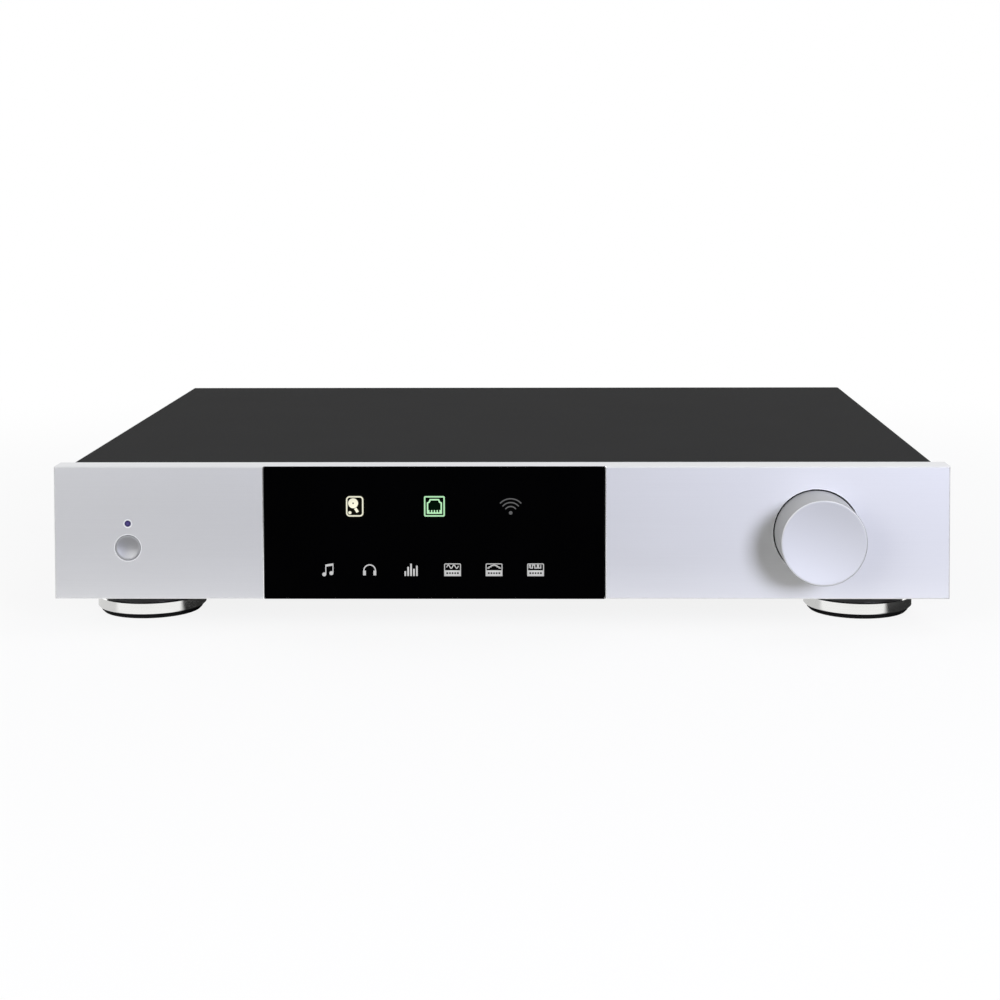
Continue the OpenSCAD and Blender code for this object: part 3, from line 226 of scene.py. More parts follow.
def moulded(name, colour, roughness=0.42, grain=0.3 * MM):
    """Moulded plastic: the fine grain of the tool, faint flow marks and dull patches."""
    finish = Finish(name)
    spark = finish.noise(grain, detail=4.0)
    flow = finish.noise((9 * MM, 9 * MM, 24 * MM))
    return finish.shade({
        "Base Color": finish.mix(flow, toned(colour, 0.82), toned(colour, 1.2)),
        "Roughness": roughness - 0.05 + 0.1 * flow + 0.05 * spark,
        "Specular IOR Level": 0.4,
        "Normal": finish.bump(spark, 0.006 * MM),
    })


def metal(name, colour, roughness, lines, relief=0.002 * MM):
    """Bare or plated metal: tool lines drawn out one way, and faint dull patches."""
    finish = Finish(name)
    line = finish.noise(lines, detail=3.0)
    patch = finish.noise(13 * MM, detail=3.0)
    return finish.shade({
        "Base Color": finish.mix(line, toned(colour, 0.93), toned(colour, 1.05)),
        "Metallic": 1.0,
        "Roughness": roughness * (0.75 + 0.4 * patch) + 0.05 * line,
        "Normal": finish.bump(line, relief),
    })


def rubber(name, colour):
    """Black rubber: coarse matt grain with paler bloom in patches."""
    finish = Finish(name)
    grain = finish.noise(0.6 * MM, detail=4.0)
    bloom = finish.noise(7 * MM, detail=3.0)
    return finish.shade({
        "Base Color": finish.mix(bloom, toned(colour, 0.8), toned(colour, 1.5)),
        "Roughness": 0.72 + 0.2 * grain,
        "Specular IOR Level": 0.06,
        "Normal": finish.bump(grain, 0.02 * MM),
    })


dress(moulded("foot_plastic", FOOT_BLACK, roughness=0.34), *("foot_body_" + c for c in CORNERS))
dress(
    metal("foot_ring_polish", RING_STEEL, 0.13, (40 * MM, 40 * MM, 0.25 * MM), 0.0008 * MM),
    *("foot_ring_" + c for c in CORNERS))
pad_rubber = rubber("pad_rubber", PAD_BLACK)
dress(pad_rubber, *("foot_pad_" + c for c in CORNERS))
zinc_plate = metal("screw_zinc", SCREW_STEEL, 0.3, 0.3 * MM)
dress(zinc_plate, "foot_screws")


# Transformer
# A ring core wound with copper and wrapped in overlapping turns of amber polyester tape. It lies on
# a rubber pad, and one bolt through a dished steel plate clamps it to the tray.
TAPE_AMBER = (0.50, 0.27, 0.06)
TAPE_TURNS = 64


def winding_tape(name, node):
    """Amber tape wound through the ring: each turn laps over the last, and copper shows through."""
    middle = middle_of(node)
    finish = Finish(name)
    angle = finish.along(1, middle).math("ARCTAN2", finish.along(0, middle))
    lap = (angle * (TAPE_TURNS / math.tau) + 0.6 * finish.noise(30 * MM)).math("FRACT")
    copper = finish.noise((1.2 * MM, 1.2 * MM, 40 * MM))
    edge = finish.step(lap, 0.86, 0.98)
    return finish.shade({
        "Base Color": finish.mix(
            edge, finish.mix(copper, toned(TAPE_AMBER, 0.75), TAPE_AMBER), toned(TAPE_AMBER, 1.5)),
        "Roughness": 0.2 + 0.15 * copper,
        "Coat Weight": 0.4 - 0.3 * edge,
        "Normal": finish.bump(lap + 0.3 * copper, 0.12 * MM),
    })


dress(winding_tape("winding_tape", "transformer_winding"), "transformer_winding")
dress(pad_rubber, "transformer_pad")
dress(zinc_plate, "transformer_plate", "transformer_bolt")


# Circuit boards
# Glass-fibre boards in green solder mask with tinned pads and pale traces. Black moulded parts are
# soldered to the three flat boards, and white lamps to the two upright ones behind the panel.
MASK_GREEN = (0.010, 0.085, 0.030)
TRACE_GREEN = (0.030, 0.170, 0.060)
PAD_TIN = (0.60, 0.60, 0.57)
PART_BLACK = (0.016, 0.016, 0.017)
LAMP_WHITE = (0.72, 0.71, 0.66)
BRASS = (0.66, 0.47, 0.19)
BOARD_T, BOARD_SLACK = 1.6 * MM, 0.02 * MM
PAD_PITCH, TRACE_PITCH = 2.54 * MM, 3.2 * MM


def circuit_board(name, node, axis, face, parts):
    """Solder mask over traces, a grid of pads, and moulded parts wherever the node is off its board."""
    low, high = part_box(node)
    finish = Finish(name)
    cells = finish.node(
        "ShaderNodeTexVoronoi", {"feature": "DISTANCE_TO_EDGE"},
        {"Vector": finish.at(TRACE_PITCH, low), "Scale": 1.0, "Randomness": 0.6})
    trace = 1.0 - finish.step(cells, 0.05, 0.09)
    dots = finish.node(
        "ShaderNodeTexVoronoi", {"feature": "F1"},
        {"Vector": finish.at(PAD_PITCH, low), "Scale": 1.0, "Randomness": 0.0})
    tin = (1.0 - finish.step(dots, 0.16, 0.2)) * (finish.noise(18 * MM) > 0.52)
    off_board = finish.along(axis, face).math("ABSOLUTE") > BOARD_T / 2 + BOARD_SLACK
    mask = finish.mix(trace, MASK_GREEN, TRACE_GREEN)
    return finish.shade({
        "Base Color": finish.mix(off_board, finish.mix(tin, mask, PAD_TIN), parts),
        "Metallic": tin * (1.0 - off_board),
        "Roughness": 0.3 + 0.25 * off_board + 0.08 * finish.noise(4 * MM),
        "Normal": finish.bump((trace + tin) * (1.0 - off_board), 0.03 * MM),
    })


for board in ("power_board", "main_board", "output_board"):
    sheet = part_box(board)[0] + Vector((0, 0, BOARD_T / 2))
    dress(circuit_board(board + "_mask", board, 2, sheet, PART_BLACK), board)
panel_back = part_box("front_panel")[1].y
for board in ("display_board", "control_board"):
    sheet = Vector((0, panel_back + BOARD_T / 2, 0))
    dress(circuit_board(board + "_mask", board, 1, sheet, LAMP_WHITE), board)
brass = metal("turned_brass", BRASS, 0.26, 0.4 * MM)
dress(brass, "board_standoffs")
dress(zinc_plate, "board_screws")


# Capacitors, heatsink and storage drive
# Four aluminium cans in dark blue sleeves stand on the power board behind an extruded heatsink. The
# drive is a closed cast case of bare aluminium, screwed to its bracket.
SLEEVE_BLUE = (0.012, 0.018, 0.060)
CAN_ALUMINIUM = (0.66, 0.66, 0.67)
HEATSINK_ALUMINIUM = (0.58, 0.585, 0.60)
DRIVE_ALUMINIUM = (0.60, 0.60, 0.61)
SLEEVE_LIP = 1.2 * MM
BARS_IN, BARS_PITCH = 0.6 * MM, 5 * MM


def capacitor_sleeve(name, node):
    """A shrunk sleeve, with the bare can at its top and pale bars down one side."""
    low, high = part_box(node)
    finish = Finish(name)
    wrinkle = finish.noise((3 * MM, 3 * MM, 0.8 * MM))
    can = finish.along(2, high) > -SLEEVE_LIP
    bars = (finish.along(1, low) < BARS_IN) * ((finish.along(2, low) / BARS_PITCH).math("FRACT") > 0.4)
    return finish.shade({
        "Base Color": finish.mix(
            can, finish.mix(bars, SLEEVE_BLUE, toned(LAMP_WHITE, 0.7)), CAN_ALUMINIUM),
        "Metallic": can,
        "Roughness": 0.24 + 0.12 * wrinkle,
        "Normal": finish.bump(wrinkle, 0.015 * MM),
    })


dress(capacitor_sleeve("capacitor_sleeve", "smoothing_capacitors"), "smoothing_capacitors")
dress(
    metal("drawn_aluminium", HEATSINK_ALUMINIUM, 0.38, (0.5 * MM, 0.5 * MM, 30 * MM), 0.004 * MM),
    "regulator_heatsink")
dress(metal("cast_aluminium", DRIVE_ALUMINIUM, 0.44, 0.8 * MM), "storage_drive")


# Inner wiring
# A flat white ribbon runs from the display board to the main board, and two leads with brown
# insulation from the inlet's tabs to the power board.
RIBBON_WHITE = (0.62, 0.62, 0.60)
LEAD_BROWN = (0.085, 0.032, 0.012)
WIRE_PITCH = 1.0 * MM

finish = Finish("ribbon_insulation")
wires = (finish.along(0) * (math.tau / WIRE_PITCH)).math("SINE")
dress(finish.shade({
    "Base Color": finish.mix(finish.step(wires, -0.9, -0.4), toned(RIBBON_WHITE, 0.6), RIBBON_WHITE),
    "Roughness": 0.45 + 0.1 * finish.noise(5 * MM),
    "Normal": finish.bump(wires, 0.1 * MM),
}), "display_cable")
dress(moulded("lead_insulation", LEAD_BROWN, roughness=0.38), "mains_leads")


# Rear panel
# Flat steel sheet in the same black powder coat as the case, punched for its sockets. Screws hold it
# to the tray's rear wall, and the lip of the cover closes over its top edge.
REAR_BLACK = (0.022, 0.022, 0.023)
dress(powder_coat("rear_powder_coat", REAR_BLACK), "rear_panel")
rear_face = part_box("rear_panel")[1].y


# Mains inlet and fuse drawer
# A moulded black inlet with three tinned brass blades, held by two screws. A drawer under the socket
# holds a glass fuse with nickel caps and pulls straight out.
CONNECTOR_BLACK = (0.013, 0.013, 0.014)
TINNED = (0.63, 0.61, 0.57)
FUSE_GLASS = (0.55, 0.60, 0.58)
FUSE_CAP = 5 * MM

connector_plastic = moulded("connector_plastic", CONNECTOR_BLACK, roughness=0.4)
dress(connector_plastic, "mains_inlet", "fuse_drawer", "rocker_frame")
tinned_brass = metal("tinned_brass", TINNED, 0.24, (0.25 * MM, 20 * MM, 0.25 * MM))
dress(tinned_brass, "inlet_pins")


def glass_fuse(name, node):
    """Pale glass between two nickel caps."""
    low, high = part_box(node)
    finish = Finish(name)
    from_middle = finish.along(0, (low + high) / 2).math("ABSOLUTE")
    metal_cap = from_middle > (high.x - low.x) / 2 - FUSE_CAP
    return finish.shade({
        "Base Color": finish.mix(metal_cap, FUSE_GLASS, TINNED),
        "Metallic": metal_cap,
        "Roughness": 0.1 + 0.12 * finish.noise(2 * MM),
    })


dress(glass_fuse("fuse_glass", "mains_fuse"), "mains_fuse")


# Mains rocker
# A gloss black rocker, moulded in one piece, that tips on two stub axles in its clipped-in frame.
# A bar and a ring, printed in white on its two halves, mark on and off.
MARK_WHITE = (0.70, 0.70, 0.68)
MARK_T = 0.05 * MM
MARK_LINE = 0.55 * MM
BAR_H = 3.4 * MM
RING_R = 1.5 * MM
ARC_STEPS = 24
MITRE_LEAST = 0.3
SAME_WAY = 0.5


def arc(centre, radius, start, end, steps=ARC_STEPS):
    """Points along an arc, with its angles in degrees anticlockwise from the right."""
    turns = [math.radians(start + (end - start) * i / steps) for i in range(steps + 1)]
    return [(centre[0] + radius * math.cos(t), centre[1] + radius * math.sin(t)) for t in turns]


def ring(centre, radius, steps=ARC_STEPS):
    """Points of a full circle, without the last, which is the first again."""
    return arc(centre, radius, 0, 360, steps)[:-1]


def add_stroke(shape, points, width, closed, depth):
    """Adds a flat bar of the given width along points in the XY plane, between Z 0 and -depth."""
    path = [Vector(point) for point in points]
    count = len(path)
    sections = []
    for i, point in enumerate(path):
        before = path[i - 1] if closed or i > 0 else None
        after = path[(i + 1) % count] if closed or i < count - 1 else None
        ways = [(b - a).normalized() for a, b in ((before, point), (point, after)) if a and b]
        way = sum(ways, Vector((0, 0))).normalized()
        side = Vector((-way.y, way.x)) * (width / 2 / max(way.dot(ways[0]), MITRE_LEAST))
        corners = (point + side, point - side)
        sections.append([shape.verts.new((c.x, c.y, z)) for z in (0, -depth) for c in corners])
    spans = list(zip(sections, sections[1:] + sections[:1]))
    for one, two in spans if closed else spans[:-1]:
        for a, b in ((0, 1), (1, 3), (3, 2), (2, 0)):
            shape.faces.new((one[a], one[b], two[b], two[a]))
    if not closed:
        for section in (sections[0], sections[-1]):
            shape.faces.new([section[i] for i in (0, 1, 3, 2)])


def closed_mesh(name, shape, place):
    """Turns the faces of a shape outwards, moves it to its place and makes a mesh of it."""
    bmesh.ops.recalc_face_normals(shape, faces=shape.faces)
    shape.transform(place)
    mesh = bpy.data.meshes.new(name)
    shape.to_mesh(mesh)
    shape.free()
    return mesh


def drawn_mesh(name, strokes, place, depth):
    """Closed solids along strokes, each (points, width, closed), moved to their place."""
    shape = bmesh.new()
    for points, width, closed in strokes:
        add_stroke(shape, points, width, closed, depth)
    return closed_mesh(name, shape, place)


def put(name, data):
    """A new object in the scene."""
    made = bpy.data.objects.new(name, data)
    bpy.context.scene.collection.objects.link(made)
    return made


def new_piece(name, mesh, body, material, stands_for=()):
    """Puts a finished mesh into the scene, on the body that carries it."""
    piece = put(name, mesh)
    mesh.materials.clear()
    mesh.materials.append(material)
    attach(piece, body)
    if stands_for:
        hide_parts(*stands_for)


def broad_faces(node, toward, count):
    """Centre and normal of the largest flat faces of a CAD piece that look the given way."""
    found = {}
    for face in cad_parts[node].data.polygons:
        if face.normal.dot(toward) > SAME_WAY:
            key = tuple(round(part, 2) for part in face.normal)
            area, moment = found.get(key, (0.0, Vector((0, 0, 0))))
            found[key] = (area + face.area, moment + face.area * face.center)
    largest = sorted(found.items(), key=lambda item: -item[1][0])[:count]
    return [(moment / area, Vector(normal).normalized()) for normal, (area, moment) in largest]


def facing(centre, normal, up=Vector((0, 0, 1))):
    """Turns the XY plane to look along a normal, with Y as near up as it goes."""
    right = up.cross(normal).normalized()
    turn = Matrix((right, normal.cross(right), normal)).transposed().to_4x4()
    return Matrix.Translation(centre) @ turn


dress(moulded("rocker_plastic", CONNECTOR_BLACK, roughness=0.2), "mains_rocker")
rocker_faces = sorted(broad_faces("mains_rocker", Vector((0, 1, 0)), 2), key=lambda f: -f[0].z)
rocker_signs = (
    ("rocker_bar", [([(0, -BAR_H / 2), (0, BAR_H / 2)], MARK_LINE, False)]),
    ("rocker_ring", [(ring((0, 0), RING_R), MARK_LINE, True)]),
)
mark_paint = moulded("mark_paint", MARK_WHITE, roughness=0.5)
for (centre, normal), (name, strokes) in zip(rocker_faces, rocker_signs):
    place = facing(centre + normal * MARK_T / 2, normal)
    mark = drawn_mesh(name, strokes, place, MARK_T)
    new_piece(name, mark, "rocker", mark_paint)


# Network and computer sockets
# Bright nickel shields on the main board reach through the rear panel. Eight sprung gold wires hang
# in the network socket, and four flat gold contacts lie under each white tongue.
SHIELD_NICKEL = (0.60, 0.59, 0.57)
CONTACT_GOLD = (0.83, 0.58, 0.22)
TONGUE_WHITE = (0.66, 0.66, 0.64)
LAN_WIRES, LAN_PITCH = 8, 1.02 * MM
LAN_WIRE = (0.46 * MM, 8.6 * MM, 0.34 * MM)
LAN_SLOPE = math.radians(18)
LAN_TOP = 4.5 * MM
LAN_DEEP = 6.8 * MM
USB_BARS, USB_PITCH = 4, 2.3 * MM
USB_BAR = (1.1 * MM, 8.0 * MM, 0.16 * MM)
USB_STEP = 7.8 * MM


def new_tree(name, inputs):
    """An empty Geometry Nodes tree, with a Value for each of its named inputs."""
    tree = bpy.data.node_groups.new(name, "GeometryNodeTree")
    graph = Graph(tree)
    tree.interface.new_socket("Geometry", in_out="OUTPUT", socket_type="NodeSocketGeometry")
    for label, kind in {"Geometry": "Geometry", **inputs}.items():
        tree.interface.new_socket(label, in_out="INPUT", socket_type="NodeSocket" + kind)
    start = tree.nodes.new("NodeGroupInput")
    return graph, {socket.name: Value(graph, socket) for socket in start.outputs if socket.name}


def end_tree(graph, geometry, material):
    """Makes the instances real, gives them their material and ends the tree."""
    real = graph.node("GeometryNodeRealizeInstances", None, {"Geometry": geometry})
    painted = graph.node("GeometryNodeSetMaterial", None, {"Geometry": real, "Material": material})
    graph.node("NodeGroupOutput", None, {0: painted})


def grown_mesh(name, graph, inputs, source=None):
    """Runs a tree with these inputs and returns what it makes as a plain mesh."""
    holder = put(name, source or bpy.data.meshes.new(name))
    modifier = holder.modifiers.new(name, "NODES")
    modifier.node_group = graph.tree
    for item in graph.tree.interface.items_tree:
        if item.in_out == "INPUT" and item.name in inputs:
            modifier[item.identifier] = inputs[item.name]
    done = holder.evaluated_get(bpy.context.evaluated_depsgraph_get())
    mesh = bpy.data.meshes.new_from_object(done)
    holder.modifiers.remove(modifier)
    bpy.data.objects.remove(holder)
    mesh.name = name
    return mesh


contact_row, given = new_tree("contact_row", {
    "Count": "Int", "Pitch": "Vector", "Bar": "Vector", "Slope": "Rotation", "Start": "Vector",
    "Metal": "Material"})
spots = contact_row.node(
    "GeometryNodeMeshLine", None,
    {"Count": given["Count"], "Start Location": given["Start"], "Offset": given["Pitch"]})
bar = contact_row.node("GeometryNodeMeshCube", None, {"Size": given["Bar"]})
row = contact_row.node(
    "GeometryNodeInstanceOnPoints", None,
    {"Points": spots, "Instance": bar, "Rotation": given["Slope"]})
end_tree(contact_row, row, given["Metal"])


def contacts(name, count, pitch, size, slope, middle, material):
    """A row of contact bars along X, about its middle."""
    start = middle - Vector(((count - 1) / 2 * pitch, 0, 0))
    return grown_mesh(name, contact_row, {
        "Count": count, "Pitch": (pitch, 0, 0), "Bar": size, "Slope": (slope, 0, 0),
        "Start": tuple(start), "Metal": material})


nickel = metal("shield_nickel", SHIELD_NICKEL, 0.28, (0.3 * MM, 25 * MM, 0.3 * MM))
gold = metal("contact_gold", CONTACT_GOLD, 0.2, 0.3 * MM)
dress(nickel, "lan_jack", "usb_jack")
tongue_plastic = moulded("tongue_plastic", TONGUE_WHITE, roughness=0.4)
dress(tongue_plastic, "usb_tongues")
low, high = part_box("lan_jack")
lan_middle = Vector(((low.x + high.x) / 2, high.y - LAN_DEEP, high.z - LAN_TOP))
new_piece(
    "lan_wires", contacts("lan_wires", LAN_WIRES, LAN_PITCH, LAN_WIRE, LAN_SLOPE, lan_middle, gold),
    "case", gold)
low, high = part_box("usb_tongues")
for level, name in enumerate(("usb_contacts_low", "usb_contacts_high")):
    under = low.z + level * USB_STEP
    middle = Vector((*((low + high) / 2).xy, under))
    new_piece(
        name, contacts(name, USB_BARS, USB_PITCH, USB_BAR, 0.0, middle, gold), "case", gold)


# Signal sockets
# Turned and gold-plated barrels with white insulators, each over a coloured washer and locked by a
# nut inside the panel. Red marks the right channel, white the left and orange the digital output.
WASHER_RED = (0.38, 0.012, 0.010)
WASHER_WHITE = (0.62, 0.62, 0.60)
WASHER_ORANGE = (0.55, 0.14, 0.012)

dress(gold, "phono_barrels")
dress(tongue_plastic, "phono_cores")
dress(zinc_plate, "jack_nuts")
low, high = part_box("phono_washers")
washer_d = high.z - low.z
finish = Finish("washer_plastic")
from_left = finish.along(0, low)
is_red = from_left > high.x - low.x - washer_d
is_white = from_left > washer_d * 1.5
tinted = finish.mix(is_red, finish.mix(is_white, WASHER_ORANGE, WASHER_WHITE), WASHER_RED)
dress(finish.shade({
    "Base Color": tinted,
    "Roughness": 0.36 + 0.1 * finish.noise(3 * MM),
    "Normal": finish.bump(finish.noise(0.3 * MM, detail=3.0), 0.006 * MM),
}), "phono_washers")


# Antenna socket
# One gold-plated turned piece: a hexagon shoulder against the panel, a threaded barrel that takes the
# antenna's nut, and a contact pin in its hollow end.
THREAD_PITCH = 0.706 * MM
THREAD_H = 0.30 * MM
HEX_FLAT = 8.0 * MM
HEX_T = 2.0 * MM
BARREL_D = 6.35 * MM
CUP_R, CUP_L = 2.3 * MM, 5.0 * MM
PIN_R, PIN_BACK = 0.65 * MM, 0.4 * MM
BARREL_EDGE = 0.4 * MM
TURN_STEPS = 48
TURN_MERGE, TURN_SHARP = 0.0001 * MM, math.radians(35)


def hexagon(flat):
    """Distance from the middle to the outline of a hexagon, at an angle counted from a corner."""
    sixth = math.tau / 6
    return lambda angle: flat / 2 / math.cos(angle % sixth - sixth / 2)


def turned_mesh(name, rings, place, steps=TURN_STEPS):
    """A closed solid about Z from rings of (radius, height), where a radius may depend on the angle."""
    shape = bmesh.new()
    loops = []
    for radius, height in rings:
        if radius == 0:
            loops.append([shape.verts.new((0, 0, height))] * steps)
            continue
        loop = []
        for i in range(steps):
            angle = math.tau * i / steps
            r = radius(angle) if callable(radius) else radius
            loop.append(shape.verts.new((r * math.cos(angle), r * math.sin(angle), height)))
        loops.append(loop)
    for one, two in zip(loops, loops[1:]):
        for i in range(steps):
            j = (i + 1) % steps
            shape.faces.new(list(dict.fromkeys((one[i], one[j], two[j], two[i]))))
    bmesh.ops.remove_doubles(shape, verts=shape.verts, dist=TURN_MERGE)
    mesh = closed_mesh(name, shape, place)
    mesh.polygons.foreach_set("use_smooth", [True] * len(mesh.polygons))
    mesh.set_sharp_from_angle(angle=TURN_SHARP)
    return mesh


thread, given = new_tree("screw_thread", {
    "Radius": "Float", "Length": "Float", "Turns": "Float", "Height": "Float", "Metal": "Material"})
helix = thread.node(
    "GeometryNodeCurveSpiral", None,
    {"Resolution": TURN_STEPS, "Rotations": given["Turns"], "Start Radius": given["Radius"],
     "End Radius": given["Radius"], "Height": given["Length"]})
upright = thread.node("GeometryNodeSetCurveNormal", {"mode": "Z_UP"}, {"Curve": helix})
crest = thread.node(
    "GeometryNodeCurvePrimitiveCircle", {"mode": "RADIUS"},
    {"Resolution": 4, "Radius": given["Height"]})
ridge = thread.node(
    "GeometryNodeCurveToMesh", None, {"Curve": upright, "Profile Curve": crest, "Fill Caps": True})
end_tree(thread, ridge, given["Metal"])

low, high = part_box("antenna_jack")
socket_middle = (low + high) / 2
outwards = facing(Vector((socket_middle.x, 0, socket_middle.z)), Vector((0, 1, 0)))
root_r = BARREL_D / 2 - THREAD_H
cup_floor = high.y - CUP_L
socket_rings = [
    (0, low.y), (root_r, low.y), (root_r, rear_face),
    (hexagon(HEX_FLAT), rear_face), (hexagon(HEX_FLAT), rear_face + HEX_T), (root_r, rear_face + HEX_T),
    (root_r, high.y - BARREL_EDGE), (root_r - BARREL_EDGE, high.y), (CUP_R, high.y),
    (CUP_R, cup_floor), (PIN_R, cup_floor), (PIN_R, high.y - PIN_BACK), (0, high.y - PIN_BACK),
]
antenna_socket = turned_mesh("antenna_socket", socket_rings, outwards)
new_piece("antenna_socket", antenna_socket, "case", gold, ["antenna_jack"])
thread_l = high.y - BARREL_EDGE - rear_face - HEX_T - 2 * THREAD_H
thread_mesh = grown_mesh("antenna_thread", thread, {
    "Radius": root_r, "Length": thread_l, "Turns": thread_l / THREAD_PITCH, "Height": THREAD_H,
    "Metal": gold})
thread_mesh.transform(outwards @ Matrix.Translation((0, 0, rear_face + HEX_T + THREAD_H)))
new_piece("antenna_thread", thread_mesh, "case", gold)


# Front panel
# A thick aluminium plate, milled with a pocket for the window and a recess for the knob, bevelled
# round its face, finely brushed along its length and clear anodised. The bevels beside the window and
# the rims of the button, light and knob carry thin painted highlight lines of paler, glossier colour.
PANEL_ALUMINIUM = (0.74, 0.742, 0.75)
# Paler colour of the painted highlight lines along the bevels and rims.
HIGHLIGHT_ALUMINIUM = (0.97, 0.972, 0.98)
HIGHLIGHT_W, HIGHLIGHT_SOFT = 0.7 * MM, 0.1 * MM
WINDOW_HIGHLIGHT, HIGHLIGHT_DEPTH = 0.55 * MM, 1.0 * MM
RIMS = (("power_button", 6.3 * MM), ("power_led_lens", 1.8 * MM), ("volume_knob", 21.0 * MM))


def highlight_line(finish, distance, middle):
    """1 along a painted highlight line, whose middle lies where the distance has the given value."""
    return 1.0 - finish.step((distance - middle).math("ABSOLUTE"), HIGHLIGHT_W / 2, HIGHLIGHT_W / 2 + HIGHLIGHT_SOFT)


def brushed(name, colour, roughness, strokes, relief):
    """Anodised aluminium: long fine brush strokes, a fine sparkle, slow changes of gloss, painted highlight
    lines.
    """
    finish = Finish(name)
    stroke = finish.noise(strokes, detail=4.0)
    sparkle = finish.noise(0.22 * MM, detail=2.0)
    gloss = finish.noise((70 * MM, 70 * MM, 25 * MM))
    plain = finish.mix(0.6 * stroke + 0.4 * sparkle, toned(colour, 0.95), toned(colour, 1.05))
    low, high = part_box("display_window")
    from_middle = finish.along(0, (low + high) / 2).math("ABSOLUTE")
    at_face = finish.along(1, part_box("front_panel")[0]) < HIGHLIGHT_DEPTH
    bevel_highlight = highlight_line(finish, from_middle, (high.x - low.x) / 2 + WINDOW_HIGHLIGHT) * at_face
    # cut holds the painted highlight lines beside the window and round the button, light and knob.
    cut = bevel_highlight
    for node, radius in RIMS:
        from_axis = finish.reach(middle_of(node), (1, 0, 1))
        cut = cut.math("MAXIMUM", highlight_line(finish, from_axis, radius))
    return finish.shade({
        "Base Color": finish.mix(cut, plain, HIGHLIGHT_ALUMINIUM),
        "Metallic": 1.0,
        "Roughness": (roughness - 0.06 + 0.06 * stroke + 0.06 * gloss) * (1.0 - 0.7 * bevel_highlight),
        "Normal": finish.bump(0.7 * stroke + 0.3 * sparkle, relief),
    })


dress(
    brushed("panel_anodised", PANEL_ALUMINIUM, 0.56, (55 * MM, 0.3 * MM, 0.3 * MM), 0.0015 * MM),
    "front_panel")


# Window and light box
# A pane of black acrylic, polished on its face and seated in the panel's pocket. Behind it a white
# moulded box keeps the light of each symbol in a well of its own.
WINDOW_BLACK = (0.0005, 0.0005, 0.0006)
BOX_WHITE = (0.70, 0.70, 0.68)
TOP_ROW, LOW_ROW = 44.8 * MM, 14.1 * MM
TOP_SPOTS = (-38.2 * MM, 0.1 * MM, 36.7 * MM)
LOW_COUNT, LOW_PITCH, LOW_SHIFT = 6, 19.95 * MM, -1.3 * MM
GLOW_GREEN = (0.0, 0.006, 0.0015)
GLOW_WARM = (0.005, 0.005, 0.002)
GLOW_REACH = 8 * MM

low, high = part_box("display_window")
window_front = low.y
row_middle = (low.x + high.x) / 2
top_row = [Vector((row_middle + x, window_front, low.z + TOP_ROW)) for x in TOP_SPOTS]
low_row = [
    Vector((row_middle + LOW_SHIFT + (i - (LOW_COUNT - 1) / 2) * LOW_PITCH, window_front, low.z + LOW_ROW))
    for i in range(LOW_COUNT)]

finish = Finish("window_acrylic")
haze = finish.noise(35 * MM)
warm = 1.0 - finish.step(finish.reach(top_row[0]), 0.0, GLOW_REACH)
green = 1.0 - finish.step(finish.reach(top_row[1]), 0.0, GLOW_REACH)
dress(finish.shade({
    "Base Color": finish.mix(haze, toned(WINDOW_BLACK, 0.6), toned(WINDOW_BLACK, 1.4)),
    "Roughness": 0.05 + 0.05 * haze,
    "Specular IOR Level": 0.012,
    "Emission Color": finish.mix(green, finish.mix(warm, (0, 0, 0), GLOW_WARM), GLOW_GREEN),
    "Emission Strength": 1.0,
}), "display_window")
dress(moulded("light_box_plastic", BOX_WHITE, roughness=0.5), "icon_light_box")


# Window symbols
# Clear lines left in the black print behind the window. Those of the top row light up to say which
# source is in use, and a row of sound symbols along the bottom stays softly lit.
SYMBOL_UNIT = 0.96 * MM
SYMBOL_T = 0.05 * MM
SYMBOL_PROUD = 0.03 * MM
LIT_WARM = (0.98, 0.96, 0.75)
LIT_GREEN = (0.54, 0.98, 0.56)
LIT_DIM = (0.10, 0.10, 0.10)
LIT_GREY = (0.62, 0.62, 0.62)
TOP_FADE, LOW_FADE = 6 * MM, 5 * MM
LINE = 0.72
THIN = 0.45


def rounded(w, h, r):
    """A rectangle with round corners, about the middle."""
    corners = ((w / 2 - r, h / 2 - r, 0), (r - w / 2, h / 2 - r, 90),
               (r - w / 2, r - h / 2, 180), (w / 2 - r, r - h / 2, 270))
    return [point for x, y, turn in corners for point in arc((x, y), r, turn, turn + 90, 6)]


def storage_symbol():
    """A drive: its case, a disc with a hub, an arm and a lamp."""
    return [
        (rounded(8.0, 9.6, 1.5), LINE, True), (ring((-0.8, 1.55), 1.45), 2.1, True),
        ([(0.25, -0.95), (1.5, -2.95)], 1.4, False), (ring((-2.45, -3.2), 0.4), 0.8, True),
    ]


def network_symbol():
    """A network socket: its frame, its keyed opening and the contacts in it."""
    opening = [(-3.45, -3.4), (3.45, -3.4), (3.45, 1.7), (2.6, 2.1), (2.1, 3.35), (-2.1, 3.35), (-2.6, 2.1),
               (-3.45, 1.7)]
    teeth = [([(x, -3.1), (x, -1.9)], 0.6, False) for x in (-2.8, -1.4, 0, 1.4, 2.8)]
    return [(rounded(9.7, 9.6, 0.4), LINE, True), (opening, LINE, True), *teeth]


def wireless_symbol():
    """A dot and three arcs above it."""
    foot = (0, -3.3)
    arcs = [(arc(foot, r, start, 180 - start), 0.6, False) for r, start in ((3.2, 36), (5.2, 39), (7.1, 42))]
    return [(ring(foot, 0.45), 0.9, True), *arcs]


def note_symbol():
    """Two quavers under one beam."""
    heads = [(ring((x, z), 0.5, 12), 1.0, True) for x, z in ((-2.0, -2.3), (1.6, -1.7))]
    stems = [([(x, z), (x, z + 4.6)], THIN, False) for x, z in ((-1.2, -2.3), (2.4, -1.7))]
    return [*heads, *stems, ([(-1.4, 2.1), (2.6, 2.75)], 1.1, False)]


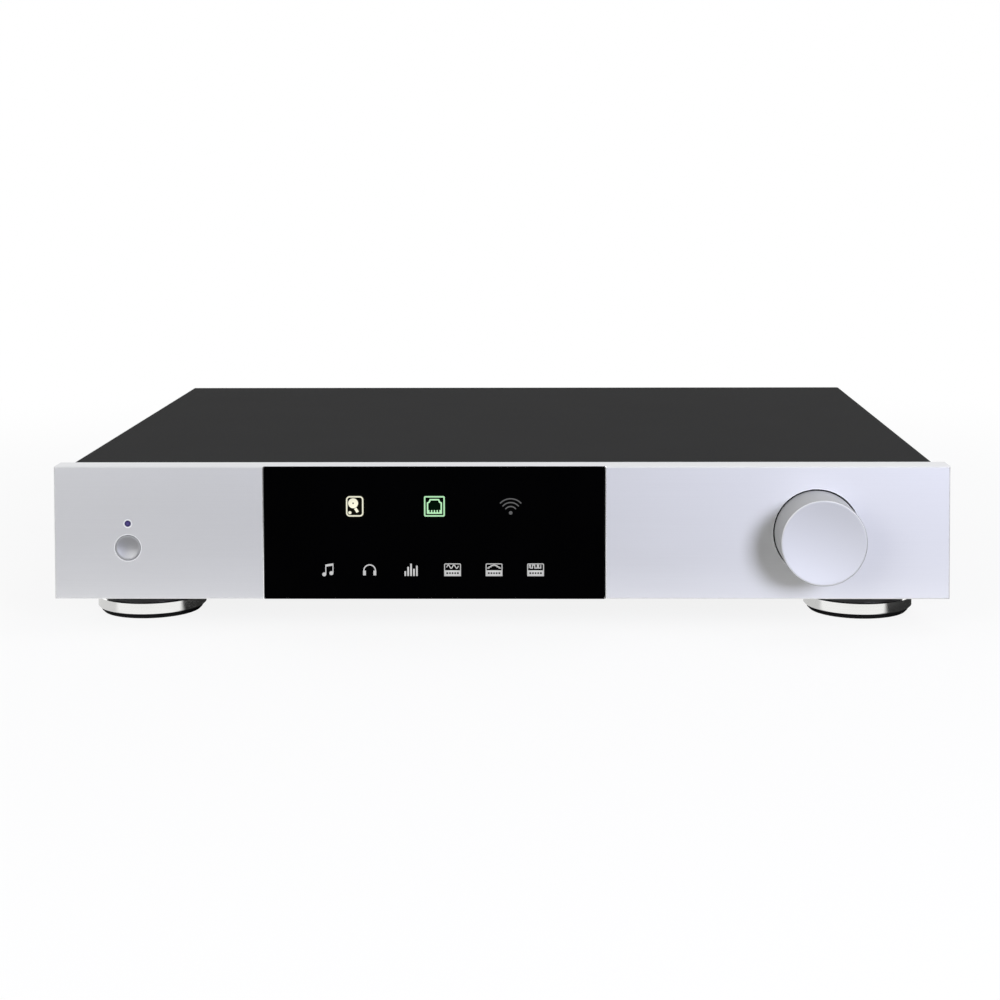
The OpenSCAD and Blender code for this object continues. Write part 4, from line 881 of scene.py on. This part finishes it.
def headphone_symbol():
    """A band over two cups."""
    cups = [([(x, -0.4), (x, -2.8)], 1.4, False) for x in (-2.6, 2.6)]
    return [(arc((0, -0.4), 2.9, 0, 180), 0.6, False), *cups]


def level_symbol():
    """Five bars of a level display."""
    heights = (2.4, 4.6, 6.2, 3.6, 5.2)
    bars = [((i - 2) * 1.45, h) for i, h in enumerate(heights)]
    return [([(x, -3.1), (x, h - 3.1)], 0.85, False) for x, h in bars]


def badge(wave):
    """A plate with a wave in its upper half and a row of short dark slots in its lower half."""
    w, h = 8.4, 6.4
    solid = [([(-w / 2, z), (w / 2, z)], t, False) for z, t in ((-0.75, 1.0), (-2.65, 1.1))]
    posts = [(-3.65, 1.1), (-1.95, 0.5), (-0.65, 0.5), (0.65, 0.5), (1.95, 0.5), (3.65, 1.1)]
    slotted = [([(x, -2.3), (x, -1.1)], t, False) for x, t in posts]
    return [(rounded(w - THIN, h - THIN, 0.4), THIN, True), *solid, *slotted, (wave, THIN, False)]


def sine_wave():
    return [(x / 4, 1.6 + 0.85 * math.sin(x / 4 * math.tau / 2.8)) for x in range(-12, 13)]


def step_wave():
    levels = (0.9, 1.5, 2.1, 2.4, 2.1, 1.5, 0.9)
    return [(x - 3.5 + side, z) for x, z in enumerate(levels) for side in (0.02, 0.98)]


def pulse_wave():
    edges = (-3.2, -2.5, -1.5, -0.4, 0.9, 1.5, 2.6)
    tops = [(0.9, 2.4) if i % 2 == 0 else (2.4, 0.9) for i in range(len(edges))]
    return [(x, z) for x, pair in zip(edges, tops) for z in pair]


def lit(name, colour, centres, reach):
    """Light from behind, brightest in the middle of each symbol."""
    finish = Finish(name)
    near = finish.reach(centres[0])
    for centre in centres[1:]:
        near = near.math("MINIMUM", finish.reach(centre))
    return finish.shade({
        "Base Color": (0.02, 0.02, 0.02),
        "Roughness": 0.3,
        "Specular IOR Level": 0.05,
        "Emission Color": finish.mix(finish.step(near, 0.0, reach), colour, toned(colour, 0.8)),
        "Emission Strength": 1.0,
    })


def symbol(name, strokes, centre, material):
    """Draws one symbol on the face of the window."""
    place = facing(centre - Vector((0, SYMBOL_PROUD, 0)), Vector((0, -1, 0)))
    place = place @ Matrix.Scale(SYMBOL_UNIT, 4)
    mesh = drawn_mesh(name, strokes, place, SYMBOL_T / SYMBOL_UNIT)
    new_piece(name, mesh, "case", material)


top_symbols = (
    ("symbol_storage", storage_symbol(), LIT_WARM),
    ("symbol_network", network_symbol(), LIT_GREEN),
    ("symbol_wireless", wireless_symbol(), LIT_DIM),
)
for centre, (name, strokes, colour) in zip(top_row, top_symbols):
    symbol(name, strokes, centre, lit(name + "_light", colour, [centre], TOP_FADE))
sound_light = lit("sound_light", LIT_GREY, low_row, LOW_FADE)
sound_symbols = {
    "symbol_note": note_symbol(), "symbol_headphones": headphone_symbol(), "symbol_level": level_symbol(),
    "symbol_sine": badge(sine_wave()), "symbol_steps": badge(step_wave()),
    "symbol_pulses": badge(pulse_wave()),
}
for centre, (name, strokes) in zip(low_row, sound_symbols.items()):
    symbol(name, strokes, centre, sound_light)


# Standby button and light
# A turned aluminium button with a hollow face presses a small switch behind the panel. The light pipe
# above it is clear violet acrylic that glows faintly from the lamp behind.
# Darker than the knob's aluminium: painted shade on the button.
BUTTON_SHADED_ALUMINIUM = (0.46, 0.463, 0.474)
LENS_VIOLET = (0.030, 0.022, 0.085)
LENS_GLOW = (0.055, 0.045, 0.13)
LENS_CORE, LENS_RIM = 0.1 * MM, 1.3 * MM
PLUNGER_GREY = (0.09, 0.09, 0.095)
FLANK_NEAR, FLANK_FAR = 0.3 * MM, 0.15 * MM
CENTRE_R = 3 * MM


def turned(name, colour, roughness, node, pitch, relief, side=1.0):
    """Turned and anodised aluminium: fine rings round an axis along Y, and its side painted darker by the
    side share, as painted shade.
    """
    low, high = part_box(node)
    middle = (low + high) / 2
    rim = (high.z - low.z) / 2
    finish = Finish(name)
    radius = finish.reach(middle, (1, 0, 1))
    flank = finish.step(radius, rim - FLANK_NEAR, rim - FLANK_FAR)
    cut = finish.lines(radius + finish.along(1, middle), pitch) - 0.5
    groove = 0.5 + cut * finish.step(radius, 0.0, CENTRE_R)
    sparkle = finish.noise(0.2 * MM)
    return finish.shade({
        # A side share below 1 paints the side darker: painted shade.
        "Base Color": finish.mix(
            flank, finish.mix(0.5 * groove + 0.5 * sparkle, toned(colour, 0.95), toned(colour, 1.05)),
            toned(colour, side)),
        "Metallic": 1.0,
        "Roughness": roughness - 0.04 + 0.08 * groove + 0.2 * flank,
        "Normal": finish.bump(groove + 0.3 * sparkle, relief),
    })


dress(
    turned("button_anodised", BUTTON_SHADED_ALUMINIUM, 0.55, "power_button", 0.12 * MM, 0.001 * MM),
    "power_button")
dress(moulded("plunger_plastic", PLUNGER_GREY), "switch_plunger")
low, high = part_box("power_led_lens")
lens_middle = Vector(((low.x + high.x) / 2, low.y, (low.z + high.z) / 2))
finish = Finish("lens_acrylic")
core = 1.0 - finish.step(finish.reach(lens_middle), LENS_CORE, LENS_RIM)
dress(finish.shade({
    "Base Color": finish.mix(finish.noise(0.8 * MM), toned(LENS_VIOLET, 0.7), LENS_VIOLET),
    "Roughness": 0.12 + 0.06 * finish.noise(1.5 * MM),
    "Specular IOR Level": 0.3,
    "Emission Color": finish.mix(core, toned(LENS_GLOW, 0.15), LENS_GLOW),
    "Emission Strength": 1.0,
}), "power_led_lens")


# Volume knob and encoder
# A solid aluminium knob, turned with a shallow hollow in its face, slides on the steel shaft of an
# encoder and is locked by a socket screw. A brass nut clamps the encoder to the panel, and a ring of
# black felt in the recess darkens the gap round the knob as painted shade.
KNOB_ALUMINIUM = (0.735, 0.738, 0.745)
SET_SCREW_BLACK = (0.07, 0.07, 0.075)
SHAFT_STEEL = (0.57, 0.56, 0.55)
ENCODER_ZINC = (0.50, 0.50, 0.49)
FELT_T, FELT_EDGE = 0.4 * MM, 0.5 * MM
RECESS_SHADE_BLACK = (0.006, 0.006, 0.007)

# The knob's side is painted darker (side 0.62) as painted shade.
dress(
    turned("knob_anodised", KNOB_ALUMINIUM, 0.59, "volume_knob", 0.16 * MM, 0.001 * MM, side=0.62),
    "volume_knob")
dress(metal("black_oxide_steel", SET_SCREW_BLACK, 0.38, 0.3 * MM), "knob_set_screw")
dress(metal("ground_steel", SHAFT_STEEL, 0.22, (0.2 * MM, 0.2 * MM, 12 * MM)), "encoder_shaft")
dress(metal("encoder_zinc", ENCODER_ZINC, 0.34, 0.6 * MM), "encoder_body")
dress(brass, "encoder_nut")

low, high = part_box("volume_knob")
knob_middle = (low + high) / 2
felt_r = (high.z - low.z) / 2 + FELT_EDGE
nut_low, nut_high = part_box("encoder_nut")
nut_r = (nut_high.x - nut_low.x) / 2 + FELT_EDGE
felt_back, felt_front = nut_high.y, nut_high.y - FELT_T
# The black felt ring is put in the recess as painted shade, darkening the gap round the knob.
finish = Finish("felt")
fibre = finish.noise((0.15 * MM, 0.15 * MM, 0.6 * MM), detail=4.0)
felt = finish.shade({
    "Base Color": finish.mix(fibre, toned(RECESS_SHADE_BLACK, 0.6), toned(RECESS_SHADE_BLACK, 1.6)),
    "Roughness": 0.9 + 0.1 * fibre,
    "Specular IOR Level": 0.05,
    "Normal": finish.bump(fibre, 0.05 * MM),
})
recess_shade_mesh = turned_mesh("knob_felt", [
    (nut_r, felt_back), (nut_r, felt_front), (felt_r, felt_front), (felt_r, felt_back), (nut_r, felt_back),
], facing(Vector((knob_middle.x, 0, knob_middle.z)), Vector((0, 1, 0))))
new_piece("knob_felt", recess_shade_mesh, "case", felt)


# Top cover
# One sheet of steel bent over the top and both sides, with a lip behind, in fine black powder coat.
# Three screws a side and four at the lip hold it to the tray and the rear panel.
COVER_BLACK = (0.013, 0.013, 0.013)
dress(powder_coat("cover_powder_coat", COVER_BLACK, grain=0.45 * MM, gloss=0.05), "top_cover")


# Case screws
# Round-headed socket screws, black where they hold the cover and bright where they hold the rear
# panel, the inlet and the front panel's flange.
SCREW_D = 3.0 * MM
HEAD_R, HEAD_H = 0.935, 0.65
HEAD_FOOT = 0.12
CROWN_R = 0.45
SOCKET_FLAT, SOCKET_DEEP = 0.66, 0.40
SHANK_R, SHANK_L = 0.5, 1.4
DOME_STEPS = 6
HEAD_STEPS = 36
SCREW_BLACK = (0.016, 0.016, 0.017)
SAME_POINT = 0.001 * MM


def screw_rings():
    """A button head with a hexagon socket, and its shank, for a thread one unit across."""
    dome = []
    for i in range(DOME_STEPS + 1):
        turn = math.pi / 2 * i / DOME_STEPS
        out, up = math.sin(turn), math.cos(turn)
        dome.append((CROWN_R + (HEAD_R - CROWN_R) * out, HEAD_FOOT + (HEAD_H - HEAD_FOOT) * up))
    socket = hexagon(SOCKET_FLAT)
    return [
        (0, HEAD_H - SOCKET_DEEP), (socket, HEAD_H - SOCKET_DEEP), (socket, HEAD_H), *dome, (HEAD_R, 0),
        (SHANK_R, 0), (SHANK_R, -SHANK_L), (0, -SHANK_L),
    ]


def solids_of(node):
    """Lowest and highest corner of each separate solid in a CAD piece."""
    shape = bmesh.new()
    shape.from_mesh(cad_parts[node].data)
    bmesh.ops.remove_doubles(shape, verts=shape.verts, dist=SAME_POINT)
    left = set(shape.verts)
    boxes = []
    while left:
        edge = [left.pop()]
        corners = []
        while edge:
            vert = edge.pop()
            corners.append(vert.co.copy())
            near = {e.other_vert(vert) for e in vert.link_edges} & left
            left -= near
            edge.extend(near)
        boxes.append(tuple(Vector([pick(c[i] for c in corners) for i in range(3)]) for pick in (min, max)))
    shape.free()
    return boxes


def screw_seats(node):
    """Where each screw's head sits, and which way it looks: out at the sides, and to the rear."""
    seats = []
    for low, high in solids_of(node):
        size = high - low
        middle = (low + high) / 2
        axis = max((0, 1), key=lambda i: abs(size[i] - size.z))
        way = Vector((0, 1, 0)) if axis == 1 else Vector((math.copysign(1, middle.x), 0, 0))
        seats.append((middle + way * (size[axis] / 2 - HEAD_H * SCREW_D), way))
    return seats


screws, given = new_tree("screws", {"Screw": "Object", "Thread": "Float", "Metal": "Material"})
way = screws.node(
    "GeometryNodeInputNamedAttribute", {"data_type": "FLOAT_VECTOR"}, {"Name": "way"})
turn = screws.node("FunctionNodeAlignRotationToVector", {"axis": "Z"}, {"Vector": way})
head = screws.node("GeometryNodeObjectInfo", None, {"Object": given["Screw"]}, out="Geometry")
placed = screws.node(
    "GeometryNodeInstanceOnPoints", None,
    {"Points": given["Geometry"], "Instance": head, "Rotation": turn, "Scale": given["Thread"]})
end_tree(screws, placed, given["Metal"])
unit_screw = put("unit_screw", turned_mesh("unit_screw", screw_rings(), Matrix(), HEAD_STEPS))
black_screw = metal("screw_black_oxide", SCREW_BLACK, 0.4, 0.25 * MM)
for node, slot, material in (
        ("cover_screws", "screw_black", black_screw), ("chassis_screws", "screw_steel", zinc_plate)):
    seats = screw_seats(node)
    points = bpy.data.meshes.new(node + "_seats")
    points.from_pydata([seat for seat, _ in seats], [], [])
    ways = points.attributes.new("way", "FLOAT_VECTOR", "POINT")
    ways.data.foreach_set("vector", [part for _, way in seats for part in way])
    mesh = grown_mesh(node + "_set", screws, {
        "Screw": unit_screw, "Thread": SCREW_D, "Metal": material}, points)
    new_piece(node + "_set", mesh, "case", material, [node])
bpy.data.objects.remove(unit_screw)


# Studio
# A wide white floor and a white surround, dimmer ahead, which metal shows too, with a dark card to the
# right of each front foot and a grey one to its left. A cool lamp stands in front to the right, a broader
# and weaker one to the left, one hangs overhead, and one on each side lights the ends and the rear.
FLOOR_R = 6.0
FLOOR_STEPS = 96
FLOOR_WHITE = (0.80, 0.80, 0.80)
FLOOR_SEEN = 0.87
SEEN_NEAR, SEEN_FAR = 0.35, 0.9
WHITE = (1.0, 1.0, 1.0)
ROOM_FRONT, ROOM_BACK = 0.15, 0.86
SKY_AHEAD, SKY_ASIDE = -0.75, 0.05
FLOOR_AHEAD, FLOOR_ASIDE = -0.25, 0.1
EDGE_NEAR, EDGE_FAR = 20 * MM, 60 * MM
CARDS = (
    ("left", -15, 0.48, 0.03), ("left", 200, 0.66, 0.72),
    ("right", -36, 0.52, 0.03), ("right", 178, 0.66, 0.62),
)
CARD_SIDE, CARD_SOFT = 76 * MM, 4 * MM
SOFT_LIGHT = (0.46, 0.46, 0.47)
LAMPS = (
    ("key", (0.68, -1.35, 0.45), (0.40, 0.40), 13.9, (0.81, 0.83, 1.0)),
    ("overhead", (0.45, 0.1, 1.6), (1.1, 1.3), 5.0, (1.0, 1.0, 1.0)),
    ("front", (-0.8, -1.35, 0.55), (0.7, 0.7), 8.7, (1.0, 1.0, 0.99)),
    ("left", (-1.3, 0.6, 0.7), (1.8, 1.6), 4.0, (1.0, 1.0, 1.0)),
    ("right", (1.3, 0.6, 0.7), (1.8, 1.6), 4.0, (1.0, 1.0, 1.0)),
)
LAMP_AIM = Vector((0.0, -0.05, 0.04))


def looks(graph):
    """1 for a ray from the camera or through glass, and 1 for a ray from a glossy surface."""
    camera, glass, glossy = [
        graph.node("ShaderNodeLightPath", out="Is %s Ray" % kind)
        for kind in ("Camera", "Transmission", "Glossy")]
    return camera.math("MAXIMUM", glass), glossy


def outside(graph, centre, way, size):
    """How far a place lies outside an upright box whose first side runs along a way; below 0 within."""
    past = []
    for axis, length in zip(((way.x, way.y, 0), (-way.y, way.x, 0)), size):
        along = graph.node(
            "ShaderNodeVectorMath", {"operation": "DOT_PRODUCT"}, {0: graph.at(1.0, centre), 1: axis},
            out="Value")
        past.append(along.math("ABSOLUTE") - length / 2)
    return past[0].math("MAXIMUM", past[1])


scene = bpy.context.scene
scene.view_settings.view_transform = "Standard"
world = bpy.data.worlds.new("surround")
scene.world = world
world.use_nodes = True
sky = Graph(world.node_tree)
seen, glossy = looks(sky)
way = sky.node("ShaderNodeTexCoord", out="Generated")
back = sky.step(sky.node("ShaderNodeSeparateXYZ", None, {0: way}, out=1), SKY_AHEAD, SKY_ASIDE)
room = sky.mix(back, toned(WHITE, ROOM_FRONT), toned(WHITE, ROOM_BACK))
tint = sky.mix(glossy, sky.mix(seen, SOFT_LIGHT, WHITE), room)
light = sky.node("ShaderNodeBackground", None, {"Color": tint, "Strength": 1.0})
sky.node("ShaderNodeOutputWorld", None, {"Surface": light})

ground = bmesh.new()
bmesh.ops.create_circle(ground, cap_ends=True, radius=FLOOR_R, segments=FLOOR_STEPS)
bmesh.ops.translate(ground, verts=ground.verts, vec=(0, 0, cad_low.z))
floor_mesh = bpy.data.meshes.new("floor")
ground.to_mesh(floor_mesh)
ground.free()
floor = put("floor", floor_mesh)
finish = Finish("floor_white")
matt = finish.node("ShaderNodeBsdfDiffuse", None, {"Color": FLOOR_WHITE})
seen, glossy = looks(finish)
low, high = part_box("front_panel")
front = Vector((0, low.y, 0))
back = finish.step(finish.along(1, front) / finish.reach(front, (1, 1, 0)), FLOOR_AHEAD, FLOOR_ASIDE)
middle = Vector((0, (low.y + rear_face) / 2, 0))
beside = outside(finish, middle, Vector((1, 0, 0)), (high.x - low.x, rear_face - low.y))
edge = 1.0 - finish.step(beside, EDGE_NEAR, EDGE_FAR)
room = (ROOM_FRONT + (ROOM_BACK - ROOM_FRONT) * back).math("MAXIMUM", edge)
for foot, heading, share, tone in CARDS:
    low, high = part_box("foot_ring_front_" + foot)
    way = Vector((math.cos(math.radians(heading)), math.sin(math.radians(heading)), 0))
    behind = math.copysign(1, way.x) * Vector((-way.y, way.x, 0))
    inset = share * (high.x - low.x) / 2
    centre = (low + high) / 2 + way * CARD_SIDE / 2 + behind * (CARD_SIDE / 2 - inset)
    beside = outside(finish, centre, way, (CARD_SIDE, CARD_SIDE))
    room = room + (tone - room) * (1.0 - finish.step(beside, -CARD_SOFT, CARD_SOFT))
bright = finish.node("ShaderNodeEmission", None, {"Color": 1.0 - glossy * (1.0 - room), "Strength": 1.0})
direct = FLOOR_SEEN + (1.0 - FLOOR_SEEN) * finish.step(finish.reach((0, 0, 0)), SEEN_NEAR, SEEN_FAR)
share = (seen * direct).math("MAXIMUM", glossy)
blend = finish.node("ShaderNodeMixShader", None, {0: share, 1: matt, 2: bright})
finish.node("ShaderNodeOutputMaterial", None, {"Surface": blend})
floor_mesh.materials.append(finish.material)

for name, place, size, power, colour in LAMPS:
    lamp = bpy.data.lights.new(name, "AREA")
    lamp.shape = "RECTANGLE"
    lamp.size, lamp.size_y = size
    lamp.energy = power
    lamp.color = colour
    stand = put(name, lamp)
    stand.location = place
    stand.rotation_euler = (LAMP_AIM - Vector(place)).to_track_quat("-Z", "Y").to_euler()


# Camera
# A long lens a little above the object and nearly square to it, with its plate shifted so that the
# upright edges of the panel stay parallel.
CAMERA_PLACE = (27.4 * MM, -1085.2 * MM, 225.2 * MM)
CAMERA_YAW, CAMERA_PITCH, CAMERA_ROLL = (math.radians(a) for a in (0.86, 2.28, -0.17))
LENS_MM, PLATE_MM = 69.95, 36.0
SHIFT_X, SHIFT_Y = -0.028, -0.2594
camera_data = bpy.data.cameras.new("camera")
camera_data.sensor_width = PLATE_MM
camera_data.lens = LENS_MM
camera_data.shift_x, camera_data.shift_y = SHIFT_X, SHIFT_Y
camera = put("camera", camera_data)
turn = Matrix.Rotation(CAMERA_YAW, 4, "Z") @ Matrix.Rotation(math.pi / 2 - CAMERA_PITCH, 4, "X")
camera.matrix_world = Matrix.Translation(CAMERA_PLACE) @ turn @ Matrix.Rotation(CAMERA_ROLL, 4, "Z")
scene.camera = camera
